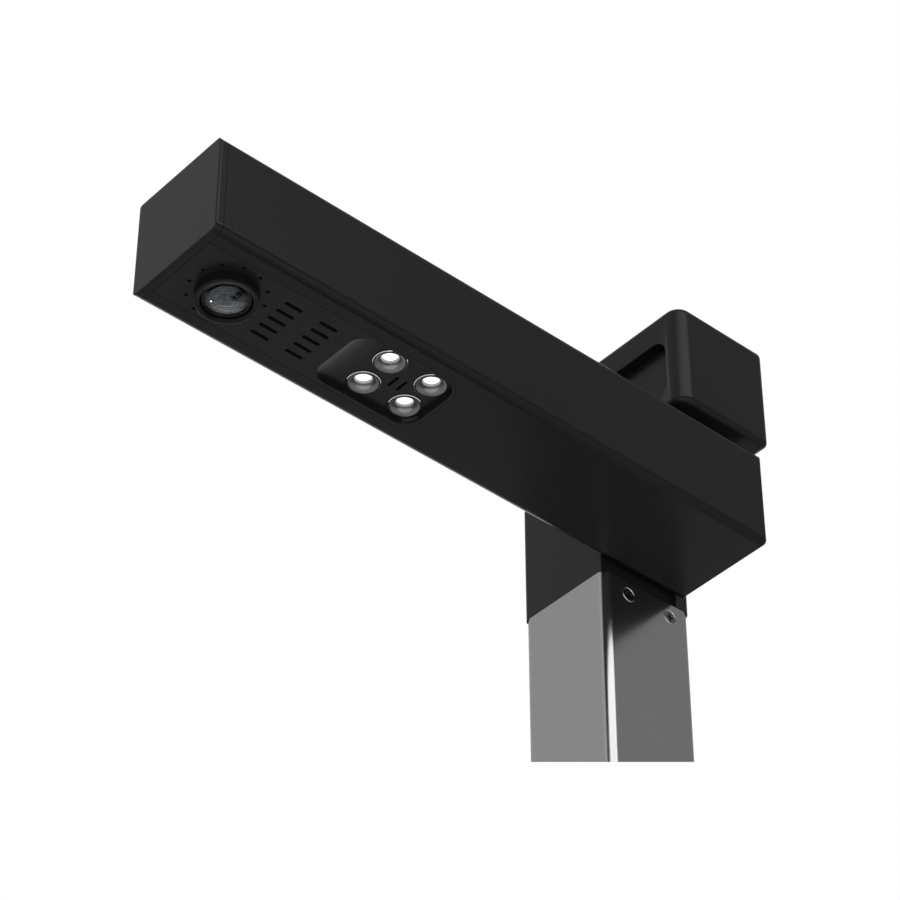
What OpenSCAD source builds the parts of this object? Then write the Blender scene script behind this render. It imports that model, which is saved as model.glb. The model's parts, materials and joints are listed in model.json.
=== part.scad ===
// Overhead document scanner: a camera arm hinged beside a square column, under a head box with a display.
// Origin: column axis on the desk. +Z up. The arm reaches forward along -Y, on the +X side of the column.

/* [Arm] */
// Width of the arm, across the column's side
arm_w = 60; // [57:0.5:64]
// Height of the arm
arm_h = 56; // [52:0.5:60]
// Length of the arm
arm_l = 334; // [316:1:350]
// How far the arm's rear end stands behind the column axis
arm_rear = 21.4; // [20.5:0.1:21.6]
// Height of the arm's underside above the desk
arm_z = 400; // [360:1:440]
// Radius of the arm's long edges
arm_edge_r = 4.3; // [3:0.1:5]
// Radius of the edges at the arm's ends
arm_end_r = 1.2; // [0.6:0.1:2]
// Wall of the arm's extrusion
arm_wall = 2.5; // [2:0.1:3]
// Visible thickness of the front cap
cap_t = 4; // [3:0.1:5]
// Width of the visible seams
seam = 0.2; // [0.1:0.05:0.3]

/* [Underside panel] */
// Width of the panel
panel_w = 40.8; // [38:0.1:41]
// Distance from the arm's front face to the panel's rear end
panel_end = 150; // [148:0.5:156]
// Radius of the panel's rear corners
panel_r = 10.6; // [9:0.1:12]
// Thickness of the panel's inner flange
flange_t = 1.2; // [1:0.1:1.5]
// How far the flange reaches past the panel's edge
flange_over = 1.4; // [1:0.1:1.6]
// Radius of the pinhole circle
pinhole_circle_r = 17.9; // [17.5:0.1:18.2]
// Radius of a pinhole
pinhole_r = 0.65; // [0.4:0.05:0.8]
// Number of pinholes
pinhole_count = 12; // [8:1:16]
// Vent slots in a row
vent_count = 5; // [3:2:5]
// Distance between vent slots
vent_pitch = 6.04; // [5:0.02:7]
// Width of a vent slot
vent_w = 2; // [1.5:0.1:2.4]
// Straight length of a vent slot
vent_l = 8; // [6:0.5:9]
// Distance from the arm's front face to the first row of vents
vent_first = 57.2; // [56:0.1:58]
// Distance between the two rows of vents
vent_row_step = 19.5; // [17:0.5:21]

/* [Lens] */
// Distance from the arm's front face to the lens axis
lens_y = 29.5; // [28:0.1:31]
// Outer radius of the lens barrel
barrel_r = 14.4; // [13.8:0.1:15]
// How far the barrel stands out of the panel
barrel_out = 5.3; // [4:0.1:6.5]
// Width of the barrel's rim, seen from below
barrel_rim = 2.55; // [2:0.05:3]
// Depth of the dish that the rim makes
barrel_dish = 1.05; // [0.6:0.05:1.4]
// Radius of the front lens
lens_r = 9.7; // [9:0.1:10]
// Bulge of the front lens
lens_sag = 2.6; // [1.5:0.1:3]
// Width of the groove between barrel and lens cell
lens_groove = 0.4; // [0.2:0.05:0.6]
// Radius of the rear lens
rear_lens_r = 5.3; // [4.5:0.1:6]

/* [Lamps] */
// Half width of the lamp recess
recess_half_w = 18.4; // [18.1:0.1:18.6]
// Distance from the arm's front face to the recess
recess_start = 90.4; // [89:0.1:92]
// Length of the recess
recess_l = 58.1; // [57.6:0.1:58.6]
// Length of the recess's sloping front
recess_slope = 15; // [12:0.5:15.5]
// Depth of the recess
recess_d = 3.25; // [2.6:0.05:4]
// Corner radius of the recess
recess_r = 8.6; // [7.6:0.1:9]
// Radius of a lamp reflector's mouth
cup_r = 6.8; // [6.4:0.1:6.9]
// Radius of a reflector's collar
cup_collar_r = 8.05; // [7.9:0.05:8.2]
// How far a reflector's mouth stands out of the recess floor
cup_proud = 0.65; // [0.4:0.05:0.9]
// Depth of a reflector
cup_d = 8; // [7:0.1:9]
// Distance between reflectors across the arm
cup_dx = 18.7; // [18.4:0.1:18.9]
// Distance between reflectors along the arm
cup_dy = 24.5; // [22:0.1:25]

/* [Column] */
// Side of the square column tube
col_w = 57.6; // [55:0.2:60]
// Corner radius of the tube
col_r = 5; // [3.5:0.1:6]
// Wall of the tube
col_wall = 3; // [2.4:0.1:3.5]
// Gap between the tube's side and the arm
side_gap = 1; // [0.8:0.1:1.6]
// Height of the arm's underside above the tube's top
tube_drop = 4.6; // [3:0.1:6]
// Length of the neck's spigot inside the tube
spigot_l = 40; // [30:1:50]
// Clearance of the spigots inside the tube
spigot_fit = 0.2; // [0.1:0.05:0.3]
// Depth of the hinge recess in the neck's side
hinge_recess = 2.1; // [1.5:0.1:3]
// Thread radius of the column's screws
col_screw_r = 2; // [1.5:0.1:2.5]
// Head radius of the column's screws
col_screw_head_r = 4.1; // [3.6:0.1:4.6]
// Distance between the column's screws
col_screw_step = 27.7; // [24:0.1:30]
// Distance from the tube's top to the column's screws
col_screw_drop = 8; // [7:0.1:12]

/* [Hinge] */
// How far the hinge axis lies behind the column axis
hinge_y = 1.7; // [1.5:0.1:2.4]
// Radius of the hinge shaft
shaft_r = 6; // [5:0.1:6.5]
// Radius of the cable passage in the shaft
shaft_bore_r = 3.5; // [2.5:0.1:4]
// Radial running clearance of the shaft
running_fit = 0.05; // [0.02:0.01:0.08]
// Wall of the hinge bush
bush_wall = 2; // [1.5:0.1:3]
// Outer radius of the friction disc
disc_r = 17; // [14:0.5:17]

/* [Head box] */
// Gap between the arm's top and the head box
head_gap = 8; // [6.4:0.1:9]
// Height of the head box
head_h = 61.5; // [56:0.1:66]
// How far the box's front stands in front of the column axis
head_front = 31.1; // [30:0.1:33]
// How far the box's back stands behind the column axis
head_back = 29; // [28.9:0.1:33]
// How far the box's far side stands in from the column's far side
head_inset = 0.6; // [0:0.1:1]
// Radius of the box's upright edges
head_r = 8.1; // [6.5:0.1:9]
// Radius of the box's top and bottom edges
head_edge_r = 3.5; // [3:0.1:5]
// Wall of the box
head_wall = 2.5; // [2.2:0.1:3]
// Distance from the box's sides to the display recess
display_side = 11.6; // [10:0.1:14]
// Height of the display recess
display_h = 35; // [32:0.5:38]
// Distance from the box's underside to the display recess
display_low = 9.6; // [9:0.1:13]
// Depth of the display recess
display_d = 5.6; // [4:0.1:6.5]
// Corner radius of the display recess
display_r = 8; // [5:0.1:9]

/* [Base] */
// Width of the base
base_w = 190; // [180:1:220]
// How far the base reaches in front of the column axis
base_front = 115; // [105:1:125]
// How far the base reaches behind the column axis
base_back = 55; // [50:1:65]
// Height of the base's top above the desk
base_h = 26; // [24:0.5:30]
// Corner radius of the base
base_r = 12; // [9:0.5:16]
// Wall of the base cover
base_wall = 3; // [2.5:0.1:3.5]
// Thickness of the base plate
plate_t = 5; // [4:0.5:6]
// Thickness of the rubber pad
pad_t = 2; // [1.5:0.1:3]
// Travel of the buttons
button_travel = 1.2; // [0.8:0.1:1.4]
// Radius of the scan button
scan_button_r = 8; // [7:0.1:9]
// Radius of the small buttons
small_button_r = 5; // [4.5:0.1:5.5]
// Distance between the buttons
button_step = 30; // [26:0.5:34]

/* [Hidden] */
$fn = 64;

// A small overlap that keeps cuts clean
eps = 0.01;
// Clearance of a screw or a loose part in its hole
slip = 0.05;
// Clearance of the screws in the arm's long extruded ports
screw_play = 0.12;
// Thickness of the circuit boards
board_t = 1.6;

// Arm
arm_reach = arm_l - arm_rear;
arm_x0 = col_w / 2 + side_gap;
arm_xc = arm_x0 + arm_w / 2;
arm_x1 = arm_x0 + arm_w;
arm_y0 = -arm_reach;
inner_w = arm_w - 2 * arm_wall;
inner_h = arm_h - 2 * arm_wall;
port_r = 2.8;
port_hole_r = 1.3;
cap_screw_head_r = 2;
cap_screw_l = 10;
port_x = inner_w / 2 - port_r + 0.4;
port_z = arm_wall + port_r - 0.4;
port_low_y = panel_end + flange_over + 2;
cap_lip = 4;
port_high_y = cap_t + cap_lip + 2;
rear_plate_t = 3;
rear_set = 0.5;
rail_l = 2;
rail_t = 1.2;
scan_board_z = 30;
scan_board_y = 44;
scan_board_l = 126;
rail_end = scan_board_y + scan_board_l + 6;

// Underside panel
flange_z = arm_wall + flange_t;
tray_floor = 1.9;
tray_top = recess_d + tray_floor;
tray_wall = 1.6;
recess_mid = recess_start + recess_l / 2;
cup_mid = recess_start + recess_slope + (recess_l - recess_slope) / 2 + 0.05;
cup_z = recess_d - cup_proud;
cup_wall = 0.6;
cup_rim = 0.2;
cup_groove = 0.3;
cup_gap = 0.25;
cup_flange_r = 9.1;
cup_flange_t = 1;
lamp_board_z = cup_z + cup_d;
lamp_slot_l = 6.4;
lamp_slot_w = 1.5;
lamp_slot_step = 4.9;
lamp_board_over = 11;
lamp_board_l = cup_dy + 2 * lamp_board_over;
lamp_sink_w = 2 * recess_half_w - 4.8;
lamp_sink_short = 8.5;
lamp_sink_l = lamp_board_l - lamp_sink_short;
scan_sink = 34;
slope_past = 1;
slope_r = (pow(recess_slope + slope_past, 2) - pow(slope_past, 2) + recess_d * recess_d) / (2 * recess_d);
slope_ball_r = sqrt(pow(slope_r - recess_d, 2) + pow(recess_slope + slope_past, 2));
post_r = 2.4;
camera_post = 16.5;

// Lens
cell_r = barrel_r - barrel_rim - lens_groove;
camera_z = 13;
lens_edge = 2;
lens_front_z = -barrel_out + barrel_dish + 0.05;
lens_ball_r = (lens_r * lens_r + lens_sag * lens_sag) / (2 * lens_sag);

// Column
tube_z0 = pad_t + plate_t + 6;
tube_z1 = arm_z - tube_drop;
tube_in = col_w - 2 * col_wall;
spigot_w = tube_in - 2 * spigot_fit;
col_screw_y = 0.9;
neck_near = col_w / 2 - hinge_recess;
neck_rib = 7.3;
neck_r = 3;
col_screw_l = 10;
cable_pos = [-14.5, 12];
cable_r = 3;

// Hinge
hinge_z = arm_z + arm_h / 2;
pocket_x0 = -18;
pocket_x1 = 4;
pocket_h = 36;
pocket_front = 14;
neck_cover_t = 3;
neck_cover_over = 5;
disc_gap = 0.1;
disc_t = side_gap + hinge_recess - disc_gap;
bracket_t = 6;
bracket_h = 38;
bracket_l = 2 * (arm_rear - rear_set - rear_plate_t - hinge_y - 0.3);
bracket_x = arm_x0 + arm_wall;
shaft_flange_t = 4;
shaft_flange_r = 12.5;
shaft_end = -9;
washer_t = 1.5;
nut_t = 6;
hinge_screw_dy = bracket_l - 9.5;
hinge_screw_dz = 28;

// Head box
head_z0 = arm_z + arm_h + head_gap;
head_x0 = -col_w / 2 + head_inset;
head_x1 = arm_x1;
head_w = head_x1 - head_x0;
head_d = head_front + head_back;
head_floor = 3;
head_cover_t = 2.3;
display_w = head_w - 2 * display_side;
window_t = 1.5;
tub_floor = 1.5;
tub_wall = 2;
module_t = 4;
head_screw_step = 36;
opening_side = 9.5;
opening_low = 6.5;
opening_r = 3;
ledge_w = 2;
ledge_t = 2;
head_boss_l = 9;
head_screw_r = 2;
head_screw_l = 12;
cover_vent_w = 2;
cover_vent_l = 20;
cover_vent_step = 7;

// Base
base_xc = (arm_x1 - col_w / 2) / 2;
base_yc = (base_back - base_front) / 2;
base_d = base_front + base_back;
cover_top = base_h - base_wall;
plate_gap = 0.3;
foot_w = 80;
foot_floor = 3;
foot_spigot_l = 45;
foot_bolt_step = 64;
base_screw_l = 10;
strip_l = 104;
strip_w = 24;
strip_t = 1.2;
strip_y = -base_front + 20;
button_proud = 1;
button_fit = 0.2;
button_flange_t = 1.6;
switch_h = 3.5;
boss_r = 4;
base_screw_r = 1.5;
port_board_z = 9;
port_board_w = 50;
port_board_l = 26;
port_inset = 45;
port_board_x = base_xc + base_w / 2 - port_inset;
port_board_y = base_back - base_wall - port_board_l / 2 - 1;
jack_x = port_board_x - port_board_w / 5;
data_x = port_board_x + port_board_w / 4 - 0.5;
jack_r = 4.1;
jack_z = port_board_z + board_t + jack_r;
data_z = port_board_z + board_t + 1.7;

// A rounded rectangle about the origin
module rounded(w, d, r) {
    square([w - 2 * r, d], center = true);
    square([w, d - 2 * r], center = true);
    for (sx = [-1, 1], sy = [-1, 1])
        translate([sx * (w / 2 - r), sy * (d / 2 - r)])
            circle(r);
}

// Extrudes a section (x, z) along +Y
module along_y(l) {
    rotate([90, 0, 0])
        translate([0, 0, -l])
            linear_extrude(l)
                children();
}

// Extrudes a section (y, z) along +X
module along_x(l) {
    rotate([90, 0, 90])
        linear_extrude(l)
            children();
}

// A cylinder along +X
module rod_x(r, l) {
    rotate([0, 90, 0])
        cylinder(h = l, r = r);
}

// A cylinder along +Y
module rod_y(r, l) {
    rotate([-90, 0, 0])
        cylinder(h = l, r = r);
}

// A block with one radius at its front upright edges, another at its rear ones, and one at top and bottom
module soft_block(w, d, h, r, rear_r, edge) {
    intersection() {
        linear_extrude(h)
            union() {
                rounded(w, d, r);
                translate([0, r / 2])
                    rounded(w, d - r, rear_r);
            }
        translate([-w / 2, 0, h / 2])
            along_x(w)
                rounded(d, h, edge);
        translate([0, -d / 2, h / 2])
            along_y(d)
                rounded(w, h, edge);
    }
}

// Places children at the corners of a rectangle
module corners(dx, dy) {
    for (sx = [-1, 1], sy = [-1, 1])
        translate([sx * dx / 2, sy * dy / 2, 0])
            children();
}

// A countersunk screw whose head is flush with z = 0 and whose shank points down
module sunk_screw(r, head_r, l) {
    difference() {
        union() {
            translate([0, 0, r - head_r])
                cylinder(h = head_r - r, r1 = r, r2 = head_r);
            translate([0, 0, -l])
                cylinder(h = l - (head_r - r) + eps, r = r);
        }
        cross_recess(head_r);
    }
}

// The hole for a countersunk screw
module sunk_hole(r, head_r, l) {
    translate([0, 0, r - head_r])
        cylinder(h = head_r - r + eps, r1 = r + slip, r2 = head_r + slip + eps);
    translate([0, 0, -l])
        cylinder(h = l, r = r + slip);
}

// A screw with a flat round head above z = 0 and a shank that points down
module pan_screw(r, head_r, head_h, l) {
    difference() {
        union() {
            cylinder(h = head_h, r = head_r);
            translate([0, 0, -l])
                cylinder(h = l + eps, r = r);
        }
        translate([0, 0, head_h])
            cross_recess(head_r);
    }
}

// The cross in a screw's head
module cross_recess(head_r) {
    for (a = [0, 90])
        rotate([0, 0, a])
            translate([0, 0, -head_r * 0.15])
                cube([head_r * 1.1, head_r * 0.24, head_r * 0.4], center = true);
}

// Puts children in the arm's own frame: x from its middle, y from its front face, z from its underside
module in_arm() {
    translate([arm_xc, arm_y0, arm_z])
        children();
}

// Places children on the hinge axis, which runs along X
module on_hinge(x) {
    translate([x, hinge_y, hinge_z])
        children();
}

// The arm's outer form, ends included
module arm_form() {
    intersection() {
        translate([0, 0, arm_h / 2])
            along_y(arm_l)
                rounded(arm_w, arm_h, arm_edge_r);
        translate([-arm_w / 2, arm_l / 2, arm_h / 2])
            along_x(arm_w)
                rounded(arm_l, arm_h, arm_end_r);
        translate([0, arm_l / 2, 0])
            linear_extrude(arm_h)
                rounded(arm_w, arm_l, arm_end_r);
    }
}

// The arm's inner section
module arm_inner(less) {
    rounded(inner_w - 2 * less, inner_h - 2 * less, arm_edge_r - 2);
}

// The panel's outline, grown on three sides and cut square at the front
module panel_outline(grow, front) {
    intersection() {
        translate([0, (panel_end - panel_r) / 2])
            rounded(panel_w + 2 * grow, panel_end + panel_r + 2 * grow, panel_r + grow);
        translate([-arm_w / 2, front])
            square([arm_w, arm_l]);
    }
}

module arm_shell() {
    color([0.06, 0.06, 0.065])
        in_arm() {
            difference() {
                intersection() {
                    arm_form();
                    translate([-arm_w, cap_t + seam, -eps])
                        cube([2 * arm_w, arm_l, arm_h + 1]);
                }
                translate([0, -eps, arm_h / 2])
                    along_y(arm_l + 1)
                        arm_inner(0);
                translate([0, 0, -1])
                    linear_extrude(arm_wall + 2)
                        panel_outline(seam, 0);
                translate([-arm_w / 2 - 1, arm_reach + hinge_y, arm_h / 2])
                    rod_x(shaft_r + 0.3, arm_wall + 2);
                bracket_screw_spots()
                    rod_x(col_screw_r + slip, arm_wall + 1);
            }
            intersection() {
                difference() {
                    for (sx = [-1, 1], port = [[port_z, port_low_y], [arm_h - port_z, port_high_y]])
                        translate([sx * port_x, port[1], port[0]])
                            rod_y(port_r, arm_l - port[1] - rear_plate_t - rear_set);
                    for (sx = [-1, 1], pz = [port_z, arm_h - port_z])
                        translate([sx * port_x, 0, pz])
                            rod_y(port_hole_r, arm_l);
                }
                translate([0, -eps, arm_h / 2])
                    along_y(arm_l)
                        rounded(inner_w + 1, inner_h + 1, arm_edge_r - 2);
            }
            for (side = [0, 1], rz = [scan_board_z - rail_t, scan_board_z + board_t + slip])
                mirror([side, 0, 0])
                    translate([inner_w / 2 - rail_l, port_high_y, rz])
                        cube([rail_l + 0.5, rail_end - port_high_y, rail_t]);
        }
}

// Places children at the bracket's screws, on the inside of the arm's far wall
module bracket_screw_spots() {
    for (sy = [-1, 1], sz = [-1, 1])
        translate([-arm_w / 2 + 0.6, arm_reach + hinge_y + sy * hinge_screw_dy / 2,
                   arm_h / 2 + sz * hinge_screw_dz / 2])
            children();
}

module front_cap() {
    color([0.08, 0.08, 0.085])
        in_arm() {
            intersection() {
                arm_form();
                translate([-arm_w, -1, -1])
                    cube([2 * arm_w, cap_t + 1, arm_h + 2]);
            }
            difference() {
                translate([0, cap_t - eps, arm_h / 2])
                    along_y(cap_lip)
                        arm_inner(0.15);
                translate([0, cap_t - 1, arm_h / 2])
                    along_y(cap_lip + 2)
                        rounded(inner_w - 4, inner_h - 4, 1);
                translate([-inner_w / 2 + 5, cap_t, 0])
                    cube([inner_w - 10, cap_lip + 1, flange_z + 1]);
            }
        }
}

module rear_cap() {
    color([0.07, 0.07, 0.075])
        in_arm()
            difference() {
                translate([0, arm_l - rear_set - rear_plate_t, arm_h / 2])
                    along_y(rear_plate_t)
                        arm_inner(0.15);
                for (sx = [-1, 1], pz = [port_z, arm_h - port_z])
                    translate([sx * port_x, arm_l - rear_set, pz])
                        rotate([-90, 0, 0])
                            sunk_hole(port_hole_r, cap_screw_head_r, rear_plate_t + 1);
            }
}

module rear_cap_screws() {
    color([0.25, 0.25, 0.27])
        in_arm()
            for (sx = [-1, 1], pz = [port_z, arm_h - port_z])
                translate([sx * port_x, arm_l - rear_set, pz])
                    rotate([-90, 0, 0])
                        sunk_screw(port_hole_r - screw_play, cap_screw_head_r, cap_screw_l);
}

// A slot with round ends along Y, by its width and the distance between its ends' centres
module slot(w, l) {
    square([w, l], center = true);
    for (s = [-1, 1])
        translate([0, s * l / 2])
            circle(w / 2);
}

// The space of the lamp recess
module recess_space() {
    intersection() {
        translate([0, recess_mid, -1])
            linear_extrude(recess_d + 1)
                rounded(2 * recess_half_w, recess_l, recess_r);
        translate([-arm_w / 2, recess_start, 0])
            along_x(arm_w) {
                intersection() {
                    translate([recess_slope + slope_past, recess_d - slope_r])
                        circle(slope_ball_r, $fn = 240);
                    translate([-5, -1])
                        square([recess_slope + 5, recess_d + 3]);
                }
                translate([recess_slope - eps, -1])
                    square([recess_l, recess_d + 1]);
            }
    }
}

// Places children at the four reflectors
module lamp_spots() {
    translate([0, cup_mid, 0])
        corners(cup_dx, cup_dy)
            children();
}

// Places children at the lamp board's posts
module lamp_posts() {
    for (p = [[-recess_half_w + 0.6, 0], [recess_half_w - 0.6, 0],
              [0, -cup_dy / 2 - 8], [0, cup_dy / 2 + 6.3]])
        translate([p[0], cup_mid + p[1], 0])
            children();
}

module underside_panel() {
    color([0.06, 0.06, 0.065])
        in_arm()
            difference() {
                union() {
                    linear_extrude(arm_wall)
                        panel_outline(0, cap_t + seam);
                    translate([0, 0, arm_wall])
                        linear_extrude(flange_t)
                            panel_outline(flange_over, cap_t + seam);
                    translate([0, recess_mid, arm_wall + flange_t / 2])
                        linear_extrude(tray_top - arm_wall - flange_t / 2)
                            rounded(2 * (recess_half_w + tray_wall), recess_l + 2 * tray_wall,
                                    recess_r + tray_wall);
                    translate([0, lens_y, flange_z - eps])
                        corners(2 * camera_post, 2 * camera_post)
                            cylinder(h = camera_z - flange_z + eps, r = post_r);
                    lamp_posts()
                        translate([0, 0, tray_top - eps])
                            cylinder(h = lamp_board_z - tray_top + eps, r = 1.8);
                }
                recess_space();
                translate([0, lens_y, -1]) {
                    cylinder(h = flange_z + 2, r = barrel_r + slip);
                    for (i = [0 : pinhole_count - 1])
                        rotate([0, 0, 16 + i * 360 / pinhole_count])
                            translate([pinhole_circle_r, 0, 0])
                                cylinder(h = flange_z + 2, r = pinhole_r);
                }
                translate([0, lens_y, camera_z - 6])
                    corners(2 * camera_post, 2 * camera_post)
                        cylinder(h = 7, r = 1);
                for (row = [0, 1], i = [0 : vent_count - 1])
                    translate([(i - (vent_count - 1) / 2) * vent_pitch, vent_first + row * vent_row_step, -1])
                        linear_extrude(flange_z + 2)
                            slot(vent_w, vent_l);
                lamp_spots()
                    translate([0, 0, recess_d - 1])
                        cylinder(h = tray_floor + 2, r = cup_collar_r + cup_gap);
                for (s = [-1, 1])
                    translate([0, cup_mid + s * lamp_slot_step / 2, recess_d - 1])
                        linear_extrude(tray_floor + 2)
                            rotate([0, 0, 90])
                                slot(lamp_slot_w, lamp_slot_l);
            }
}

module lens_barrel() {
    color([0.05, 0.05, 0.055])
        in_arm()
            translate([0, lens_y, 0])
                rotate_extrude()
                    polygon([
                        [barrel_r - 0.5, -barrel_out], [barrel_r - 0.3, -barrel_out],
                        [barrel_r, -barrel_out + 0.3],
                        [barrel_r, flange_z], [barrel_r + 1.6, flange_z], [barrel_r + 1.6, flange_z + 1.5],
                        [barrel_r, flange_z + 1.5], [barrel_r, camera_z], [barrel_r - barrel_rim, camera_z],
                        [barrel_r - barrel_rim, -barrel_out + barrel_dish]
                    ]);
}

module lens_cell() {
    color([0.04, 0.04, 0.045])
        in_arm()
            translate([0, lens_y, 0])
                rotate_extrude() {
                    polygon([
                        [lens_r + slip, lens_front_z + 0.5], [cell_r - 0.3, lens_front_z],
                        [cell_r, lens_front_z + 0.3], [cell_r, camera_z], [cell_r - 3, camera_z],
                        [cell_r - 3, 7], [rear_lens_r + 2 * slip, 7], [rear_lens_r + 2 * slip, 2.5],
                        [rear_lens_r - 0.5, 2.5], [rear_lens_r - 0.5, 2],
                        [lens_r - 0.8, lens_front_z + lens_edge + 0.1],
                        [lens_r + slip, lens_front_z + lens_edge + 0.1]
                    ]);
                    translate([cell_r - eps, camera_z - 6])
                        square([lens_groove + eps, 5]);
                }
}

module front_lens() {
    color([0.5, 0.55, 0.6])
        in_arm()
            translate([0, lens_y, lens_front_z])
                rotate_extrude()
                    difference() {
                        intersection() {
                            translate([0, lens_ball_r - lens_sag])
                                circle(lens_ball_r, $fn = 180);
                            translate([0, -lens_sag])
                                square([lens_r, lens_sag + lens_edge]);
                        }
                        translate([-1, -lens_sag - 1])
                            square([1, 10]);
                    }
}

module rear_lens() {
    color([0.45, 0.42, 0.55])
        in_arm()
            translate([0, lens_y, 2.65])
                rotate_extrude()
                    difference() {
                        intersection() {
                            translate([0, 12])
                                circle(13, $fn = 120);
                            translate([0, -1])
                                square([rear_lens_r, 4]);
                        }
                        translate([-1, -2])
                            square([1, 8]);
                    }
}

module camera_board() {
    color([0.05, 0.25, 0.12])
        in_arm()
            translate([0, lens_y, camera_z])
                difference() {
                    linear_extrude(board_t)
                        rounded(2 * camera_post + 6, 2 * camera_post + 6, 2);
                    translate([0, 0, -1])
                        corners(2 * camera_post, 2 * camera_post)
                            cylinder(h = board_t + 2, r = 1.1);
                }
}

module camera_screws() {
    color([0.6, 0.6, 0.62])
        in_arm()
            translate([0, lens_y, camera_z + board_t])
                corners(2 * camera_post, 2 * camera_post)
                    pan_screw(1 - slip, 1.9, 1.3, 6);
}

module image_sensor() {
    color([0.15, 0.15, 0.2])
        in_arm()
            translate([-4.5, lens_y - 3.5, camera_z - 1])
                cube([9, 7, 1]);
}

module microphone_board() {
    color([0.05, 0.25, 0.12])
        in_arm()
            translate([0, lens_y, flange_z])
                difference() {
                    cylinder(h = 1, r = pinhole_circle_r + 1.6);
                    translate([0, 0, -1])
                        cylinder(h = 3, r = barrel_r + 1.8);
                }
}

module lamp_reflectors() {
    color([0.85, 0.86, 0.88])
        in_arm()
            lamp_spots()
                translate([0, 0, cup_z])
                    rotate_extrude()
                        difference() {
                            union() {
                                reflector_half(cup_r + cup_wall, cup_d);
                                polygon([
                                    [cup_r - 0.1, 0], [cup_r + cup_rim + cup_groove + 0.2, 0],
                                    [cup_collar_r, cup_proud * 2], [cup_collar_r, tray_top - cup_z],
                                    [cup_flange_r, tray_top - cup_z],
                                    [cup_flange_r, tray_top - cup_z + cup_flange_t],
                                    [cup_r - 0.1, tray_top - cup_z + cup_flange_t]
                                ]);
                            }
                            translate([0, -eps])
                                reflector_half(cup_r, cup_d - 0.8);
                            translate([cup_r + cup_rim, -eps])
                                square([cup_groove, 0.6]);
                            translate([-eps, -eps])
                                square([2.2 + eps, 2 * cup_d]);
                        }
}

// Half of a reflector's round section, with its mouth at y = 0
module reflector_half(r, d) {
    intersection() {
        square([r, d]);
        translate([0, d - r * 1.02])
            circle(r * 1.02, $fn = 96);
    }
}

module lamp_diodes() {
    color([0.95, 0.92, 0.75])
        in_arm()
            lamp_spots() {
                translate([0, 0, lamp_board_z - 0.8])
                    cylinder(h = 0.8, r = 2.1);
                intersection() {
                    translate([0, 0, lamp_board_z - 0.8])
                        sphere(1.7);
                    translate([0, 0, lamp_board_z - 4])
                        cylinder(h = 4 - 0.8 + eps, r = 2);
                }
            }
}

module lamp_board() {
    color([0.75, 0.76, 0.74])
        in_arm()
            translate([0, cup_mid, lamp_board_z])
                linear_extrude(board_t)
                    rounded(2 * recess_half_w + 3, lamp_board_l, 2);
}

// A finned heat sink with its base at z = 0 and its fins up
module finned_sink(w, l, base, h, count, fin) {
    translate([-w / 2, -l / 2, 0])
        cube([w, l, base]);
    for (i = [0 : count - 1])
        translate([-w / 2 + i * (w - fin) / (count - 1), -l / 2, base - eps])
            cube([fin, l, h - base]);
}

module lamp_heat_sink() {
    color([0.6, 0.61, 0.63])
        in_arm()
            translate([0, cup_mid, lamp_board_z + board_t])
                finned_sink(lamp_sink_w, lamp_sink_l, 3, scan_board_z - lamp_board_z - board_t - 3, 8, 1.4);
}

module scan_board() {
    color([0.05, 0.25, 0.12])
        in_arm()
            translate([0, scan_board_y + scan_board_l / 2, scan_board_z])
                linear_extrude(board_t)
                    rounded(inner_w - 0.4, scan_board_l, 1);
}

module heat_sink() {
    color([0.55, 0.56, 0.58])
        in_arm()
            translate([0, vent_first + vent_row_step / 2, scan_board_z])
                mirror([0, 0, 1])
                    finned_sink(scan_sink, scan_sink, 4, scan_board_z - flange_z - 4, 9, 1.4);
}

module hinge_bracket() {
    color([0.55, 0.55, 0.57])
        on_hinge(bracket_x)
            difference() {
                along_x(bracket_t)
                    rounded(bracket_l, bracket_h, 3);
                translate([-1, 0, 0])
                    rod_x(shaft_r + slip, bracket_t + 2);
                for (sy = [-1, 1], sz = [-1, 1])
                    translate([-1, sy * hinge_screw_dy / 2, sz * hinge_screw_dz / 2])
                        rod_x(col_screw_r + slip, bracket_t + 2);
            }
}

module hinge_screws() {
    color([0.6, 0.6, 0.62])
        on_hinge(bracket_x + bracket_t)
            for (sy = [-1, 1], sz = [-1, 1])
                translate([0, sy * hinge_screw_dy / 2, sz * hinge_screw_dz / 2])
                    rotate([0, 90, 0])
                        pan_screw(col_screw_r, 3.6, 2.2, bracket_t + arm_wall - 0.8);
}

module hinge_shaft() {
    color([0.7, 0.7, 0.72])
        difference() {
            union() {
                on_hinge(shaft_end)
                    rod_x(shaft_r, bracket_x + bracket_t - shaft_end + eps);
                on_hinge(bracket_x + bracket_t)
                    rod_x(shaft_flange_r, shaft_flange_t);
            }
            on_hinge(shaft_end - 1)
                rod_x(shaft_bore_r, bracket_x + bracket_t + shaft_flange_t - shaft_end + 2);
        }
}

module hinge_bush() {
    color([0.7, 0.55, 0.3])
        on_hinge(pocket_x1)
            difference() {
                rod_x(shaft_r + running_fit + bush_wall, neck_near - pocket_x1);
                translate([-1, 0, 0])
                    rod_x(shaft_r + running_fit, neck_near - pocket_x1 + 2);
            }
}

module friction_disc() {
    color([0.2, 0.2, 0.2])
        on_hinge(neck_near + disc_gap)
            difference() {
                rod_x(disc_r, disc_t);
                translate([-1, 0, 0])
                    rod_x(shaft_r + 0.3, disc_t + 2);
            }
}

module spring_washers() {
    color([0.65, 0.65, 0.67])
        for (i = [0, 1])
            on_hinge(pocket_x1 - 0.1)
                rotate([0, -90, 0])
                    translate([0, 0, i * washer_t])
                        washer_disc(i);
}

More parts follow.
